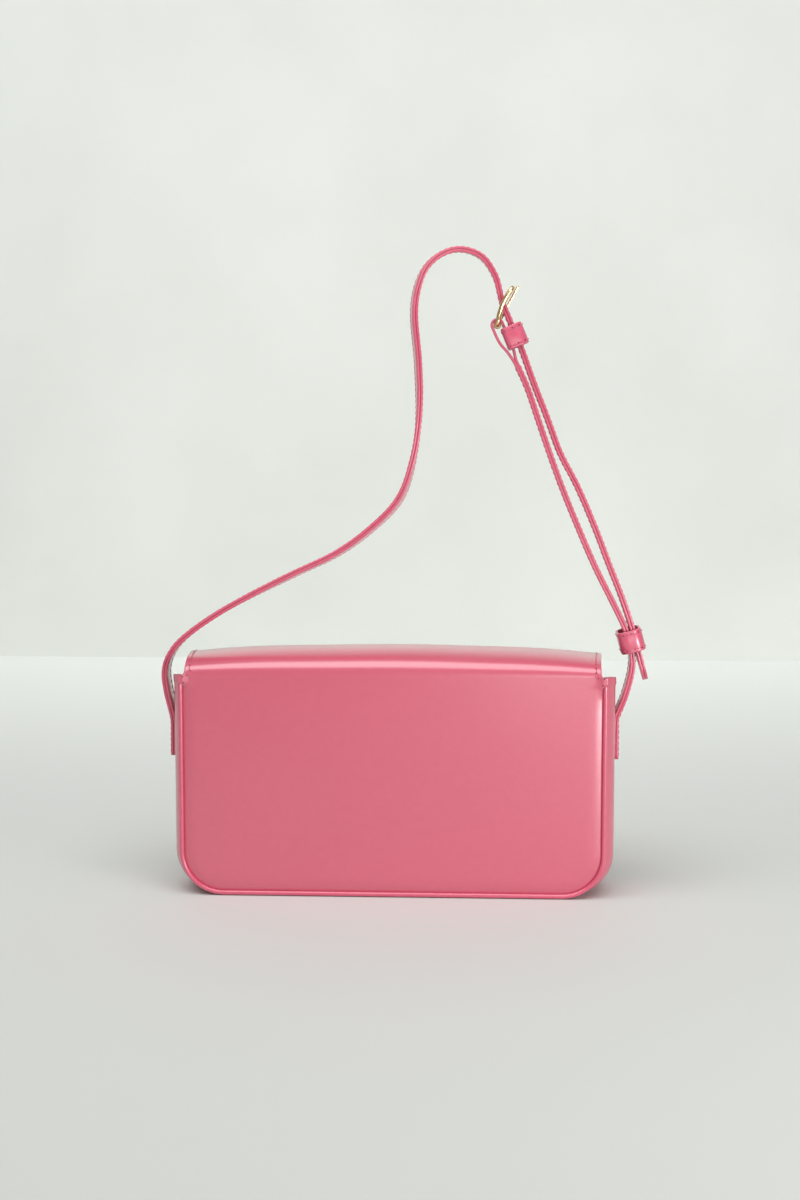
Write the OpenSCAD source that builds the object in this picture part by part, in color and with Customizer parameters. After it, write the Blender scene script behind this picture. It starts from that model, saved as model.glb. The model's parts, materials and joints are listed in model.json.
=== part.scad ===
// Baguette bag with a flap, piped edges and an adjustable shoulder strap.
// Millimetres. Z is up, X runs along the bag, the back of the bag faces -Y and the flap closes over +Y.
// The origin is on the floor, under the middle of the base.

/* [Body] */
// Width of the body over the piping
body_w = 270; // [240:1:300]
// Depth of the body between the outer faces of its two panels
body_d = 56; // [48:1:64]
// Height of the side walls where they meet the back
side_h = 140; // [128:1:155]
// Radius of the bottom corners over the piping
corner_r = 30; // [22:1:38]
// Thickness of the outer leather
leather_t = 1.6; // [1.2:0.1:2]
// Thickness of the lining
lining_t = 1; // [0.7:0.1:1.3]
// Thickness of the boards that stiffen the walls
board_t = 1.2; // [0.8:0.1:1.6]
// Diameter of the piping
piping_d = 3.6; // [3.2:0.1:4.2]
// How far the side walls bulge out at mid depth
gusset_bulge = 5.5; // [3:0.5:7]
// How far the top edges of the side walls fall from the back to the front, and the top of the front with them
front_drop = 8; // [2:0.5:12]
// Height of the ears of the panels that cover the ends of the piping
ear_h = 5.5; // [4:0.5:8]

/* [Flap] */
// Distance from the outside of the piping to the side edge of the flap
flap_inset = 6; // [5:0.5:9]
// Height of the fold line at the back above the side walls
fold_rise = 1; // [0.5:0.5:3]
// Rise of the flap above its fold line, halfway along the bag
roof_rise = 15.2; // [13:0.2:18]
// How much lower the flap runs at its two ends
roof_droop = 4.7; // [3:0.1:6]
// How far the flap hangs below the fold line on the front
flap_drop = 93; // [84:1:100]
// Radius of the bottom corners of the flap
flap_corner_r = 25; // [15:1:32]
// Thickness of the flap's leather
flap_leather_t = 1.4; // [1.1:0.1:1.7]
// Thickness of the flap's board
flap_board_t = 0.8; // [0.6:0.1:1]
// Thickness of the flap's lining
flap_lining_t = 1; // [0.7:0.1:1.2]

/* [Inner pocket] */
// Width of the inner pocket
pocket_w = 120; // [90:1:150]
// Height of the inner pocket
pocket_h = 58; // [45:1:66]
// Height of the bottom of the pocket above the base
pocket_z = 58; // [48:1:64]
// How far the pocket stands open in the middle
pocket_gape = 7; // [6:0.5:9]

/* [Magnetic snap] */
// Diameter of the socket on the front
socket_d = 15; // [13:0.5:18]
// Thickness of the socket
socket_t = 1.6; // [1.4:0.1:2]
// Diameter of the hole in the socket
socket_hole_d = 7; // [6:0.5:8]
// Diameter of the stud's plate on the flap
stud_d = 13; // [11:0.5:16]
// Thickness of the stud's plate
stud_t = 1.1; // [0.9:0.1:1.4]
// Diameter of the stud's nipple
nipple_d = 3.6; // [3:0.2:4]
// Height of the snap's centre above the flap's bottom edge
snap_rise = 20; // [15:1:28]

/* [Strap] */
// Width of the strap
strap_w = 18; // [15:0.5:20]
// Thickness of the strap, both layers
strap_t = 3.4; // [2.8:0.1:4]
// Height of the points where the strap leaves the side walls
strap_leave_z = 108; // [102:1:110]
// Length of strap sewn on below those points, down to its cut end
strap_sewn_l = 22; // [19:1:30]
// Height of the top of the strap above the points where it leaves the side walls
strap_rise = 298; // [280:0.5:320]
// Length of the tail of the long strap below the middle of the sliding keeper
tail_l = 27; // [22:1:40]
// Pitch of the adjusting holes
hole_pitch = 20; // [16:1:24]
// Diameter of the adjusting holes
hole_d = 3.8; // [3.6:0.1:4.4]

/* [Buckle] */
// Diameter of the buckle's wire
wire_d = 2.8; // [2.4:0.1:3.2]
// Distance from the heel bar to the far bar
buckle_l = 24.4; // [22:0.2:27]
// Angle between the buckle and the strap
buckle_angle = 45; // [40:1:50]
// Half of the angle through which the side rails curve
rail_bend = 14; // [8:1:22]
// Radius of the frame's corners
buckle_corner_r = 2.6; // [2.2:0.1:4]
// Diameter of the tongue
tongue_d = 1.7; // [1.4:0.1:1.8]
// Width of the tongue's eye on the heel bar
eye_w = 3.4; // [2.6:0.2:4]

/* [Keepers] */
// Height of the keepers along the strap
keeper_h = 14; // [11:0.5:16]
// Thickness of the keepers' leather
keeper_t = 1.6; // [1.2:0.1:1.8]
// Corner radius inside a keeper
keeper_r = 4.4; // [3:0.1:4.6]
// Room in the sliding keeper across the two runs of strap
slide_room = 4.8; // [4.4:0.1:6]
// Room between the long strap and the front wall of the fixed keeper
fixed_room = 2.8; // [2:0.1:4]

/* [Clearances] */
// Clearance where one piece seats on or passes another
seat_gap = 0.3; // [0.2:0.05:0.4]
// Clearance between the edges of the strap and what goes round it
edge_gap = 1.2; // [1:0.1:1.5]
// Clearance of the tongue's eye on the heel bar
eye_gap = 0.1; // [0.06:0.02:0.1]

/* [Hidden] */
$fn = 48;

// Colours
pink_leather = [0.86, 0.45, 0.53];
pink_edge = [0.84, 0.33, 0.45];
pink_lining = [0.90, 0.66, 0.66];
pink_strap = [0.88, 0.40, 0.52];
grey_board = [0.75, 0.73, 0.70];
pale_gold = [0.90, 0.76, 0.45];

// Body: the seam runs on the centre line of the piping
piping_r = piping_d / 2;
seam_x = body_w / 2 - piping_r;
seam_y = body_d / 2 - leather_t / 2;
seam_r = corner_r - piping_r;
gusset_half = seam_y - piping_r;
panel_half = seam_x - piping_r;
lining_y = body_d / 2 - leather_t - board_t;
inside_y = lining_y - lining_t;
fold_z = side_h + fold_rise;
back_top = fold_z - seat_gap;
back_lining_top = back_top - seat_gap;
front_top = side_h - front_drop;
ear_x = seam_x + leather_t;
ear_corner_r = 1.2;
lining_half = seam_x - leather_t / 2 - seat_gap / 3;
lining_bottom = piping_r + leather_t / 2 + seat_gap / 3;
base_bulge = piping_r - leather_t / 2;
gusset_top_x = seam_x + leather_t / 2 + gusset_bulge;

// Share of the half width at each point of the gusset's section, and how flat the base is made there
section = [0, 0.2, 0.45, 0.68, 0.85, 0.94, 1];
base_flat = 0.68;

// Flap
flap_t = flap_leather_t + flap_board_t + flap_lining_t;
flap_half = body_w / 2 - flap_inset;
snap_gap = socket_t + seat_gap + stud_t;
flap_face_y = body_d / 2 + snap_gap + flap_t;
flap_bottom_z = fold_z - flap_drop;
snap_z = flap_bottom_z + snap_rise;
roof_power = 2.6;

// Strap: the sewn ends lie on the side walls, and the free strap is measured from where it leaves them
span = gusset_top_x + seat_gap + strap_t / 2;
sewn_gap = 1.1;

// Strap and buckle share a straight stretch of the strap at the fixed keeper
keeper_share = [0.539, 0.821];
keeper_lean = 22.75;
slider_share = [1.078, 0.182];
slider_lean = 15.4;
fold_t = strap_t / 2;
wire_r = wire_d / 2;
tongue_r = tongue_d / 2;
// Gap between the long strap and the strip that comes back from the bar, and slack of the fold round it
fold_gap = 2.2;
fold_slack = 1.2;
bar_rise = 2;
fold_r = wire_r + fold_slack + fold_t / 2;
heel = [-(strap_t / 2 + fold_gap + fold_t / 2 + fold_r), keeper_h / 2 + bar_rise + wire_r];
far = heel + buckle_l * [sin(buckle_angle), cos(buckle_angle)];
frame_gap = 0.8;
rail_y = strap_w / 2 + frame_gap + wire_r;
rail_r = (buckle_l / 2 - buckle_corner_r * cos(rail_bend)) / sin(rail_bend);
tongue_angle = buckle_angle + asin((wire_r + tongue_r + seat_gap) / buckle_l);
tongue_cross = -heel[0] / sin(tongue_angle);
hole_z = heel[1] + tongue_cross * cos(tongue_angle);
hole_tilt = 1.25;
keeper_back = strap_t / 2 + fold_gap + fold_t + seat_gap;
join_x = -(keeper_back + keeper_t / 2);
join_z = -0.82 * keeper_h;
keeper_half_w = strap_w / 2 + edge_gap;
strand_gap = 0.8;
slider_half = (2 * strap_t + strand_gap + slide_room) / 2;
slider_offset = 0.5;
slider_shift = -(strap_t + strand_gap) / 2 - slider_offset;

// Small helpers
function unit(v) = v / norm(v);
function outward(d) = [-d[1], d[0]];
function mirrored(list) = [for (i = [len(list) - 1:-1:0]) list[i]];
function ease(f) = f * f * (3 - 2 * f);

// A smooth curve through hand-chosen points, with the given number of steps between two of them
function curve_at(a, b, c, d, f) =
    0.5 * (2 * b + (c - a) * f + (2 * a - 5 * b + 4 * c - d) * f * f + (3 * b - a - 3 * c + d) * f * f * f);
function curve(p, steps) = let (n = len(p) - 1) concat(
    [for (i = [0:n - 1], k = [0:steps - 1])
        curve_at(p[max(i - 1, 0)], p[i], p[i + 1], p[min(i + 2, n)], k / steps)],
    [p[n]]);
function lengths(p, i = 0, sum = 0) =
    i == len(p) - 1 ? [sum] : concat([sum], lengths(p, i + 1, sum + norm(p[i + 1] - p[i])));
function course(p, i) = unit(p[min(i + 1, len(p) - 1)] - p[max(i - 1, 0)]);

// A closed solid through rings of points, each ring with as many points as the next. A ring goes out along
// one face and back along the other, and both faces are split the same way, so that layers lie flat on
// each other.
module skin(rings) {
    n = len(rings[0]);
    last = (len(rings) - 1) * n;
    function split(a, b) = a % n < n / 2
        ? [[a, b, a + n], [b, b + n, a + n]]
        : [[a, b, b + n], [a, b + n, a + n]];
    sides = [for (i = [0:len(rings) - 2], j = [0:n - 1]) each split(i * n + j, i * n + (j + 1) % n)];
    ends = [for (j = [0:n / 2 - 2]) each [[n - 1 - j, n - 2 - j, j + 1, j],
                                          [last + j, last + j + 1, last + n - 2 - j, last + n - 1 - j]]];
    polyhedron([for (r = rings) each r], concat(sides, ends));
}

// Wall outlines in the XZ plane, stood up with their thickness from y to y + t
module wall(y, t) {
    translate([0, y + t, 0]) rotate([90, 0, 0]) linear_extrude(t) children();
}

module rounded_outline(half_w, bottom, top, r) {
    translate([-half_w, bottom + r]) square([2 * half_w, top - bottom - r]);
    translate([-half_w + r, bottom]) square([2 * (half_w - r), r]);
    for (side = [-1, 1]) translate([side * (half_w - r), bottom + r]) circle(r, $fn = 96);
}

module panel_outline(top) {
    rounded_outline(panel_half, piping_d, top, corner_r - piping_d);
    ear_w = ear_x - panel_half;
    for (side = [0, 1]) mirror([side, 0]) {
        translate([panel_half - 1, top - ear_h]) square([ear_w + 1, ear_h - ear_corner_r]);
        translate([panel_half - 1, top - ear_corner_r]) square([ear_w + 1 - ear_corner_r, ear_corner_r]);
        translate([ear_x - ear_corner_r, top - ear_corner_r]) circle(ear_corner_r);
    }
}

// Panels, boards and linings
module back_panel() {
    color(pink_leather) wall(-body_d / 2, leather_t) panel_outline(back_top);
}

module front_panel() {
    color(pink_leather) wall(body_d / 2 - leather_t, leather_t) panel_outline(front_top);
}

module board_outline(top) {
    rounded_outline(panel_half, piping_d, top, corner_r - piping_d);
}

module back_board() {
    color(grey_board) wall(-body_d / 2 + leather_t, board_t) board_outline(back_lining_top);
}

module front_board() {
    color(grey_board) wall(body_d / 2 - leather_t - board_t, board_t) difference() {
        board_outline(front_top);
        translate([0, snap_z]) circle(d = socket_d + seat_gap);
    }
}

module lining_outline(top) {
    rounded_outline(lining_half, lining_bottom, top, lining_half - (seam_x - seam_r));
}

module lining_back() {
    color(pink_lining) wall(-lining_y, lining_t) lining_outline(back_lining_top);
}

module lining_front() {
    color(pink_lining) wall(lining_y - lining_t, lining_t) lining_outline(front_top);
}

module base_board() {
    half_x = seam_x - seam_r - board_t;
    half_y = base_flat * gusset_half - seat_gap;
    color(grey_board) translate([-half_x, -half_y, leather_t]) cube([2 * half_x, 2 * half_y, board_t]);
}

// Piping: two uprights, two quarter rings and a straight run, with rounded ends under the ears
module piping(y, panel_top) {
    top = panel_top - ear_h - seat_gap;
    bend_z = piping_r + seam_r;
    translate([0, y, 0]) {
        for (side = [-1, 1]) {
            translate([side * seam_x, 0, bend_z]) cylinder(h = top - piping_r - bend_z, r = piping_r);
            translate([side * seam_x, 0, top - piping_r]) sphere(piping_r);
        }
        translate([seam_x - seam_r, 0, bend_z]) rotate([-90, 0, 0])
            rotate_extrude(angle = 90, $fn = 96) translate([seam_r, 0]) circle(piping_r, $fn = 32);
        translate([seam_r - seam_x, 0, bend_z]) rotate([-90, 90, 0])
            rotate_extrude(angle = 90, $fn = 96) translate([seam_r, 0]) circle(piping_r, $fn = 32);
        translate([seam_r - seam_x, 0, piping_r]) rotate([0, 90, 0])
            cylinder(h = 2 * (seam_x - seam_r), r = piping_r);
    }
}

module piping_back() {
    color(pink_edge) piping(-seam_y, back_top);
}

module piping_front() {
    color(pink_edge) piping(seam_y, front_top);
}

// Gusset: a strip that follows the seam down one side, along the base and up the other.
// Each station is [x, z, outward x, outward z, share of base].
function seam_stations() = let (
    bend_z = piping_r + seam_r,
    side_steps = 4,
    bend_steps = 8,
    base_steps = 4,
    right = concat(
        [for (i = [0:side_steps - 1]) [seam_x, side_h + (bend_z - side_h) * i / side_steps, 1, 0, 0]],
        [for (i = [0:bend_steps]) let (a = 90 * i / bend_steps, share = ease(i / bend_steps))
            [seam_x - seam_r + seam_r * cos(a), bend_z - seam_r * sin(a), cos(a), -sin(a), share]]),
    half_base = seam_x - seam_r,
    base = [for (i = [1:base_steps - 1]) [half_base * (1 - 2 * i / base_steps), piping_r, 0, -1, 1]],
    left = [for (s = mirrored(right)) [-s[0], s[1], -s[2], s[3], s[4]]])
    concat(right, base, left);

function side_shape(f) = 1 - pow(f, 3.6);
function base_shape(f) = f <= base_flat ? 1 : 1 - pow((f - base_flat) / (1 - base_flat), 2);
function strip_out(f, share) =
    gusset_bulge * side_shape(f) * (1 - share) + base_bulge * base_shape(f) * share;

// One layer of the strip between two depths under its outer face, over the half depth half_y.
// Its two top edges fall towards the front.
function layer_ring(s, half_y, outer, inner) = let (
    shares = concat([for (f = mirrored(section)) -f], [for (i = [1:len(section) - 1]) section[i]]),
    fall = function(f) s[1] < side_h ? 0 : front_drop * ease((f + 1) / 2),
    place = function(f, depth) let (o = leather_t / 2 + strip_out(abs(f), s[4]) - depth)
        [s[0] + s[2] * o, f * half_y, s[1] + s[3] * o - fall(f)])
    concat([for (f = shares) place(f, outer)], [for (f = mirrored(shares)) place(f, inner)]);

module gusset() {
    color(pink_leather) skin([for (s = seam_stations()) layer_ring(s, gusset_half, 0, leather_t)]);
}

module lining_gusset() {
    color(pink_lining) skin([for (s = seam_stations())
        layer_ring(s, inside_y, leather_t + board_t * s[4], leather_t + lining_t + board_t * s[4])]);
}

// Inner pocket: a sheet that bows away from the back lining, closed below and open above
module inner_pocket() {
    bow_r = (pocket_w * pocket_w / 4 + pocket_gape * pocket_gape) / (2 * pocket_gape);
    module bow(r) {
        intersection() {
            translate([0, -inside_y + pocket_gape - bow_r]) circle(r, $fn = 360);
            translate([-pocket_w, -inside_y]) square([2 * pocket_w, pocket_gape + lining_t]);
        }
    }
    color(pink_lining) {
        translate([0, 0, pocket_z]) linear_extrude(pocket_h) difference() {
            bow(bow_r);
            bow(bow_r - lining_t);
        }
        translate([0, 0, pocket_z]) linear_extrude(lining_t) bow(bow_r);
    }
}

// Flap: three layers that share one profile, drawn here at its outer face.
// The profile starts at the fold line, arches over the top and hangs down the front.
function roof_z(x) = roof_rise - roof_droop * pow(abs(x) / flap_half, 3);
function hem_z(x) = let (d = abs(x) - (flap_half - flap_corner_r))
    flap_bottom_z + (d <= 0 ? 0 : flap_corner_r - sqrt(max(0, flap_corner_r * flap_corner_r - d * d)));
function power(c, p) = sign(c) * pow(abs(c), p);
arch_steps = 16;
function flap_profile(x) = let (
    mid_y = (flap_face_y - body_d / 2) / 2,
    half_y = (flap_face_y + body_d / 2) / 2,
    arch = [for (i = [0:arch_steps]) let (a = 180 - 180 * i / arch_steps)
        [mid_y + half_y * power(cos(a), 2 / roof_power),
         fold_z + roof_z(x) * power(sin(a), 2 / roof_power)]],
    hang = [for (f = [0.3, 0.6, 1]) [flap_face_y, fold_z + (hem_z(x) - fold_z) * f]])
    concat(arch, hang);
function sunk(p, depth) = [for (i = [0:len(p) - 1]) p[i] - depth * outward(course(p, i))];
function flap_ring(x, outer, inner) = let (p = flap_profile(x))
    [for (q = concat(sunk(p, outer), mirrored(sunk(p, inner)))) [x, q[0], q[1]]];
flap_insets = concat([for (f = [0, 0.03, 0.12, 0.28, 0.52, 1]) f * flap_corner_r], [0.6 * flap_half]);

module flap_layer(outer, inner) {
    left = [for (i = flap_insets) i - flap_half];
    stations = concat(left, [0], [for (x = mirrored(left)) -x]);
    skin([for (x = stations) flap_ring(x, outer, inner)]);
}

module snap_hole(d) {
    translate([0, body_d / 2, snap_z]) rotate([-90, 0, 0]) cylinder(h = snap_gap + flap_t, d = d);
}

module flap_leather() {
    color(pink_leather) flap_layer(0, flap_leather_t);
}

module flap_board() {
    color(grey_board) difference() {
        flap_layer(flap_leather_t, flap_leather_t + flap_board_t);
        snap_hole(stud_d + seat_gap);
    }
}

module flap_lining() {
    color(pink_lining) flap_layer(flap_leather_t + flap_board_t, flap_t);
}

// Magnetic snap
module disc(y, d, t) {
    translate([0, y, snap_z]) rotate([-90, 0, 0]) cylinder(h = t, d = d);
}

module snap_socket() {
    rim_t = 0.2;
    color(pale_gold) difference() {
        disc(body_d / 2, socket_d, socket_t);
        disc(body_d / 2 + rim_t, socket_hole_d, socket_t);
    }
}

module snap_socket_washer() {
    color(pale_gold) disc(body_d / 2 - leather_t - board_t, socket_d, board_t);
}

module snap_stud() {
    nipple_l = 1;
    color(pale_gold) {
        disc(body_d / 2 + snap_gap - stud_t, stud_d, stud_t);
        disc(body_d / 2 + snap_gap - stud_t - nipple_l, nipple_d, nipple_l);
    }
}

module snap_stud_washer() {
    color(pale_gold) disc(body_d / 2 + snap_gap + flap_lining_t, stud_d, flap_board_t);
}

// The free strap turns about the points where it leaves the side walls, so its ends are round there
// and the sewn ends stop below them.
module sewn_end(side) {
    r = strap_w / 2;
    top = -r - sewn_gap;
    shoulder = -r - 3.4;
    top_half = 2;
    translate([side * span - strap_t / 2, 0, strap_leave_z]) rotate([90, 0, 90]) linear_extrude(strap_t)
        polygon([[-r, -strap_sewn_l], [r, -strap_sewn_l], [r, shoulder], [top_half, top], [-top_half, top],
                 [-r, shoulder]]);
}

module strap_end_left() {
    color(pink_strap) sewn_end(-1);
}

module strap_end_right() {
    color(pink_strap) sewn_end(1);
}

// Places on the strap: shares of the span and of the rise, and the local frame of a straight stretch,
// with x outward and z up along the strap
function at_share(p) = [p[0] * span, strap_leave_z + p[1] * strap_rise];
function in_frame(origin, lean, p) = at_share(origin) + [cos(lean) * p[0] - sin(lean) * p[1],
                                                         sin(lean) * p[0] + cos(lean) * p[1]];
function at_keeper(p) = in_frame(keeper_share, keeper_lean, p);
function at_slider(p) = in_frame(slider_share, slider_lean, p);

// Left run and top of the long strap, in shares
rising = [[-1, 0], [-1.009, 0.027], [-1.027, 0.067], [-1.035, 0.107], [-1.011, 0.144], [-0.946, 0.181],
          [-0.808, 0.228], [-0.642, 0.272], [-0.446, 0.318], [-0.258, 0.361], [-0.102, 0.414],
          [0.025, 0.478], [0.085, 0.56], [0.111, 0.655], [0.107, 0.762], [0.089, 0.873], [0.12, 0.944],
          [0.185, 0.983], [0.281, 1], [0.382, 0.986], [0.447, 0.944]];
// Right run between the two keepers, in shares, and the gap there between the two runs of strap
falling = [[0.62, 0.721], [0.68, 0.649], [0.738, 0.576], [0.816, 0.505], [0.891, 0.424], [0.956, 0.345],
           [1.017, 0.272]];
gaps = [1.4, 2.3, 2.9, 5.8, 6.3, 5.2, 3.1];
// Heights on the keeper's straight stretch, and on the slider's down to the tip of the tail
keeper_steps = keeper_h * [1.6, 0.8, 0, -0.8];
slider_steps = concat(keeper_h * [0.7, 0, -0.7], [-(keeper_h + tail_l) / 2, -tail_l]);
// Right run of the buckle strap below the slider, in shares
landing = [[1.064, 0.114], [1.043, 0.071], [1.016, 0.034], [1, 0.012], [1, 0]];

long_points = concat([[-span, strap_leave_z - strap_w / 2]],
    [for (p = rising) at_share(p)],
    [for (s = keeper_steps) at_keeper([0, s])],
    [for (p = falling) at_share(p)],
    [for (s = slider_steps) at_slider([0, s])]);
steps = 3;
long_path = curve(long_points, steps);
long_lengths = lengths(long_path);
long_l = long_lengths[len(long_lengths) - 1];
keeper_index = (1 + len(rising) + 2) * steps;

// The strap twists a little towards the back on the slope and away from it on the upright stretch
twist_stops = [[0, 0], [0.12, 0], [0.20, 6], [0.33, 6], [0.43, -8], [0.52, -8], [0.60, 0], [1, 0]];
function end_round(d) = let (r = strap_w / 2) d >= r ? 1 : sqrt(max(0.02, 1 - pow(1 - d / r, 2)));

// A flat strip along a path in the XZ plane, between two distances from the path's middle line
function strip_ring(p, i, low, high, half_w, twist) = let (
    n = outward(course(p, i)),
    across = [n[0] * cos(twist), sin(twist), n[1] * cos(twist)],
    wide = [-n[0] * sin(twist), cos(twist), -n[1] * sin(twist)],
    c = [p[i][0], 0, p[i][1]])
    [c + across * low - wide * half_w, c + across * high - wide * half_w,
     c + across * high + wide * half_w, c + across * low + wide * half_w];

// Points on the rounded ends, as shares of the end radius
end_shares = [0.06, 0.3, 0.7];
function place_at(p, l, s) = [lookup(s, [for (i = [0:len(p) - 1]) [l[i], p[i][0]]]),
                              lookup(s, [for (i = [0:len(p) - 1]) [l[i], p[i][1]]])];

module long_layer(low, high) {
    r = strap_w / 2;
    inner = [for (i = [0:len(long_path) - 1]) if (long_lengths[i] > r && long_lengths[i] < long_l - r) i];
    stops = concat([0], [for (f = end_shares) f * r], [r], [for (i = inner) long_lengths[i]],
        [long_l - r], [for (f = mirrored(end_shares)) long_l - f * r], [long_l]);
    path = [for (s = stops) place_at(long_path, long_lengths, s)];
    skin([for (i = [0:len(stops) - 1]) strip_ring(path, i, low, high,
        r * end_round(min(stops[i], long_l - stops[i])), lookup(stops[i] / long_l, twist_stops))]);
}

// Moves a child from the frame of the keeper or of the slider into the bag's frame
module keeper_frame() {
    p = at_share(keeper_share);
    translate([p[0], 0, p[1]]) rotate([0, -keeper_lean, 0]) children();
}

module slider_frame() {
    p = at_share(slider_share);
    translate([p[0], 0, p[1]]) rotate([0, -slider_lean, 0]) children();
}

// Adjusting holes: the one with the tongue is punched along it, the others square to the strap
module adjusting_holes() {
    punch_l = 6 * strap_t;
    keeper_frame() translate([0, 0, hole_z]) rotate([0, tongue_angle + hole_tilt, 0])
        cylinder(h = punch_l, d = hole_d, center = true);
    for (k = [-2, -1, 1, 2]) {
        s = long_lengths[keeper_index] - hole_z + k * hole_pitch;
        here = place_at(long_path, long_lengths, s);
        next = place_at(long_path, long_lengths, s + 1);
        d = unit(next - here);
        translate([here[0], 0, here[1]]) rotate([0, atan2(-d[1], d[0]), 0])
            cylinder(h = 2 * strap_t, d = hole_d, center = true);
    }
}

module strap_face() {
    color(pink_strap) difference() {
        long_layer(0, strap_t / 2);
        adjusting_holes();
    }
}

module strap_backing() {
    color(pink_edge) difference() {
        long_layer(-strap_t / 2, 0);
        adjusting_holes();
    }
}

// Buckle strap: the run beside the long strap, and the fold round the heel bar and the fixed keeper
function beside(i) = let (
    p = concat([at_keeper([0, keeper_steps[3]])], [for (q = falling) at_share(q)],
        [at_slider([0, slider_steps[0]])]))
    p[i + 1] - outward(unit(p[i + 2] - p[i])) * (strap_t + gaps[i]);

strand_points = concat(mirrored([for (p = landing) at_share(p)]),
    [for (f = [-0.65, 0, 0.65]) at_slider([-strap_t - strand_gap, f * keeper_h])],
    [for (i = [len(falling) - 1:-1:0]) beside(i)],
    [at_keeper([join_x, join_z])]);

fold_points = let (side = keeper_back + keeper_t + fold_t / 2 + 0.4) concat(
    [[join_x, join_z], [-side, -keeper_h / 2 - 0.8], [heel[0] - fold_r + 0.5, 0]],
    [for (a = [190:-25:-10]) heel + fold_r * [cos(a), sin(a)]],
    [[heel[0] + fold_r, keeper_h / 2 - 1], [heel[0] + fold_r, 0], [heel[0] + fold_r, -keeper_h / 2 - 1.2],
     [join_x, join_z]]);

function moved_out(p, distance) = [for (i = [0:len(p) - 1]) p[i] + distance * outward(course(p, i))];
function trimmed(list) = [for (i = [1:len(list) - 2]) list[i]];

module buckle_strap() {
    slot_w = eye_w + 1.2;
    r = strap_w / 2;
    strand = curve(strand_points, steps);
    fold = [for (p = curve(fold_points, 2)) at_keeper(p)];
    color(pink_strap) difference() {
        union() {
            rotate([90, 0, 0]) linear_extrude(strap_w, center = true) difference() {
                polygon(concat(moved_out(strand, strap_t / 2), trimmed(moved_out(fold, fold_t / 2)),
                    mirrored(moved_out(strand, -strap_t / 2))));
                polygon(concat([at_keeper([join_x, join_z])], trimmed(moved_out(fold, -fold_t / 2))));
            }
            translate([span - strap_t / 2, 0, strap_leave_z]) rotate([90, 0, 90]) linear_extrude(strap_t)
                intersection() {
                    circle(r, $fn = 96);
                    translate([-r, -r]) square([2 * r, r]);
                }
        }
        keeper_frame() translate([heel[0], 0, heel[1]]) rotate([90, 0, 0])
            cylinder(h = slot_w, r = fold_r + fold_t, center = true);
    }
}

// Keepers: loops of leather, drawn in the plane square to the strap
module rounded_block(x0, x1, half_y, r0, r1) {
    translate([x0 + r0, -half_y]) square([x1 - r1 - x0 - r0, 2 * half_y]);
    translate([x0, -half_y + r0]) square([r0, 2 * (half_y - r0)]);
    translate([x1 - r1, -half_y + r1]) square([r1, 2 * (half_y - r1)]);
    for (side = [-1, 1]) {
        translate([x0 + r0, side * (half_y - r0)]) circle(r0);
        translate([x1 - r1, side * (half_y - r1)]) circle(r1);
    }
}

module keeper(x0, x1, r0, r1) {
    translate([0, 0, -keeper_h / 2]) linear_extrude(keeper_h) difference() {
        rounded_block(x0 - keeper_t, x1 + keeper_t, keeper_half_w + keeper_t, r0 + keeper_t, r1 + keeper_t);
        rounded_block(x0, x1, keeper_half_w, r0, r1);
    }
}

// The wall inside the fold is flat right across the strip that lies against it
module keeper_fixed() {
    color(pink_strap) keeper_frame() keeper(-keeper_back, strap_t / 2 + fixed_room, edge_gap, keeper_r);
}

module keeper_sliding() {
    color(pink_strap) slider_frame()
        keeper(slider_shift - slider_half, slider_shift + slider_half, keeper_r, keeper_r);
}

// Buckle: two bars and two curved rails of one wire, drawn with the heel bar at the origin
// and the far bar straight above it. The wire's circles all start at the same side, so that they join
// exactly.
module buckle_bar() {
    straight = rail_y - buckle_corner_r;
    rotate([90, 0, 0]) rotate([0, 0, 180]) cylinder(h = 2 * straight, r = wire_r, center = true);
    for (side = [0, 1]) mirror([0, side, 0]) translate([0, straight, buckle_corner_r]) rotate([0, 90, 0])
        rotate_extrude(angle = 90) translate([buckle_corner_r, 0]) rotate(-90) circle(wire_r);
}

module buckle_rail() {
    centre_x = rail_r * cos(rail_bend) - buckle_corner_r * sin(rail_bend);
    translate([centre_x, rail_y, buckle_l / 2]) rotate([90, 0, 0]) rotate([0, 0, 180 - rail_bend])
        rotate_extrude(angle = 2 * rail_bend, $fn = 180) translate([rail_r, 0]) circle(wire_r, $fn = 48);
}

module buckle_frame() {
    color(pale_gold) keeper_frame() translate([heel[0], 0, heel[1]]) rotate([0, buckle_angle, 0]) {
        rotate([0, -rail_bend, 0]) buckle_bar();
        translate([0, 0, buckle_l]) mirror([0, 0, 1]) rotate([0, -rail_bend, 0]) buckle_bar();
        for (side = [0, 1]) mirror([0, side, 0]) buckle_rail();
    }
}

// Tongue: an eye round the heel bar and a straight pin that rests on the far bar
module buckle_tongue() {
    eye_r = wire_r + eye_gap;
    eye_wall = 0.9;
    pin_l = buckle_l + wire_r + 1;
    color(pale_gold) keeper_frame() translate([heel[0], 0, heel[1]]) {
        difference() {
            union() {
                rotate([90, 0, 0]) cylinder(h = eye_w, r = eye_r + eye_wall, center = true);
                rotate([0, tongue_angle, 0]) cylinder(h = pin_l, r = tongue_r);
                rotate([0, tongue_angle, 0]) translate([0, 0, pin_l]) sphere(tongue_r);
            }
            rotate([90, 0, 0]) cylinder(h = eye_w + 2, r = eye_r, center = true);
        }
    }
}

back_panel();
front_panel();
gusset();
piping_back();
piping_front();
back_board();
front_board();
base_board();
lining_back();
lining_front();
lining_gusset();
inner_pocket();
snap_socket();
snap_socket_washer();
strap_end_left();
strap_end_right();
flap_leather();
flap_board();
flap_lining();
snap_stud();
snap_stud_washer();
strap_face();
strap_backing();
buckle_strap();
keeper_fixed();
keeper_sliding();
buckle_frame();
buckle_tongue();
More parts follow.
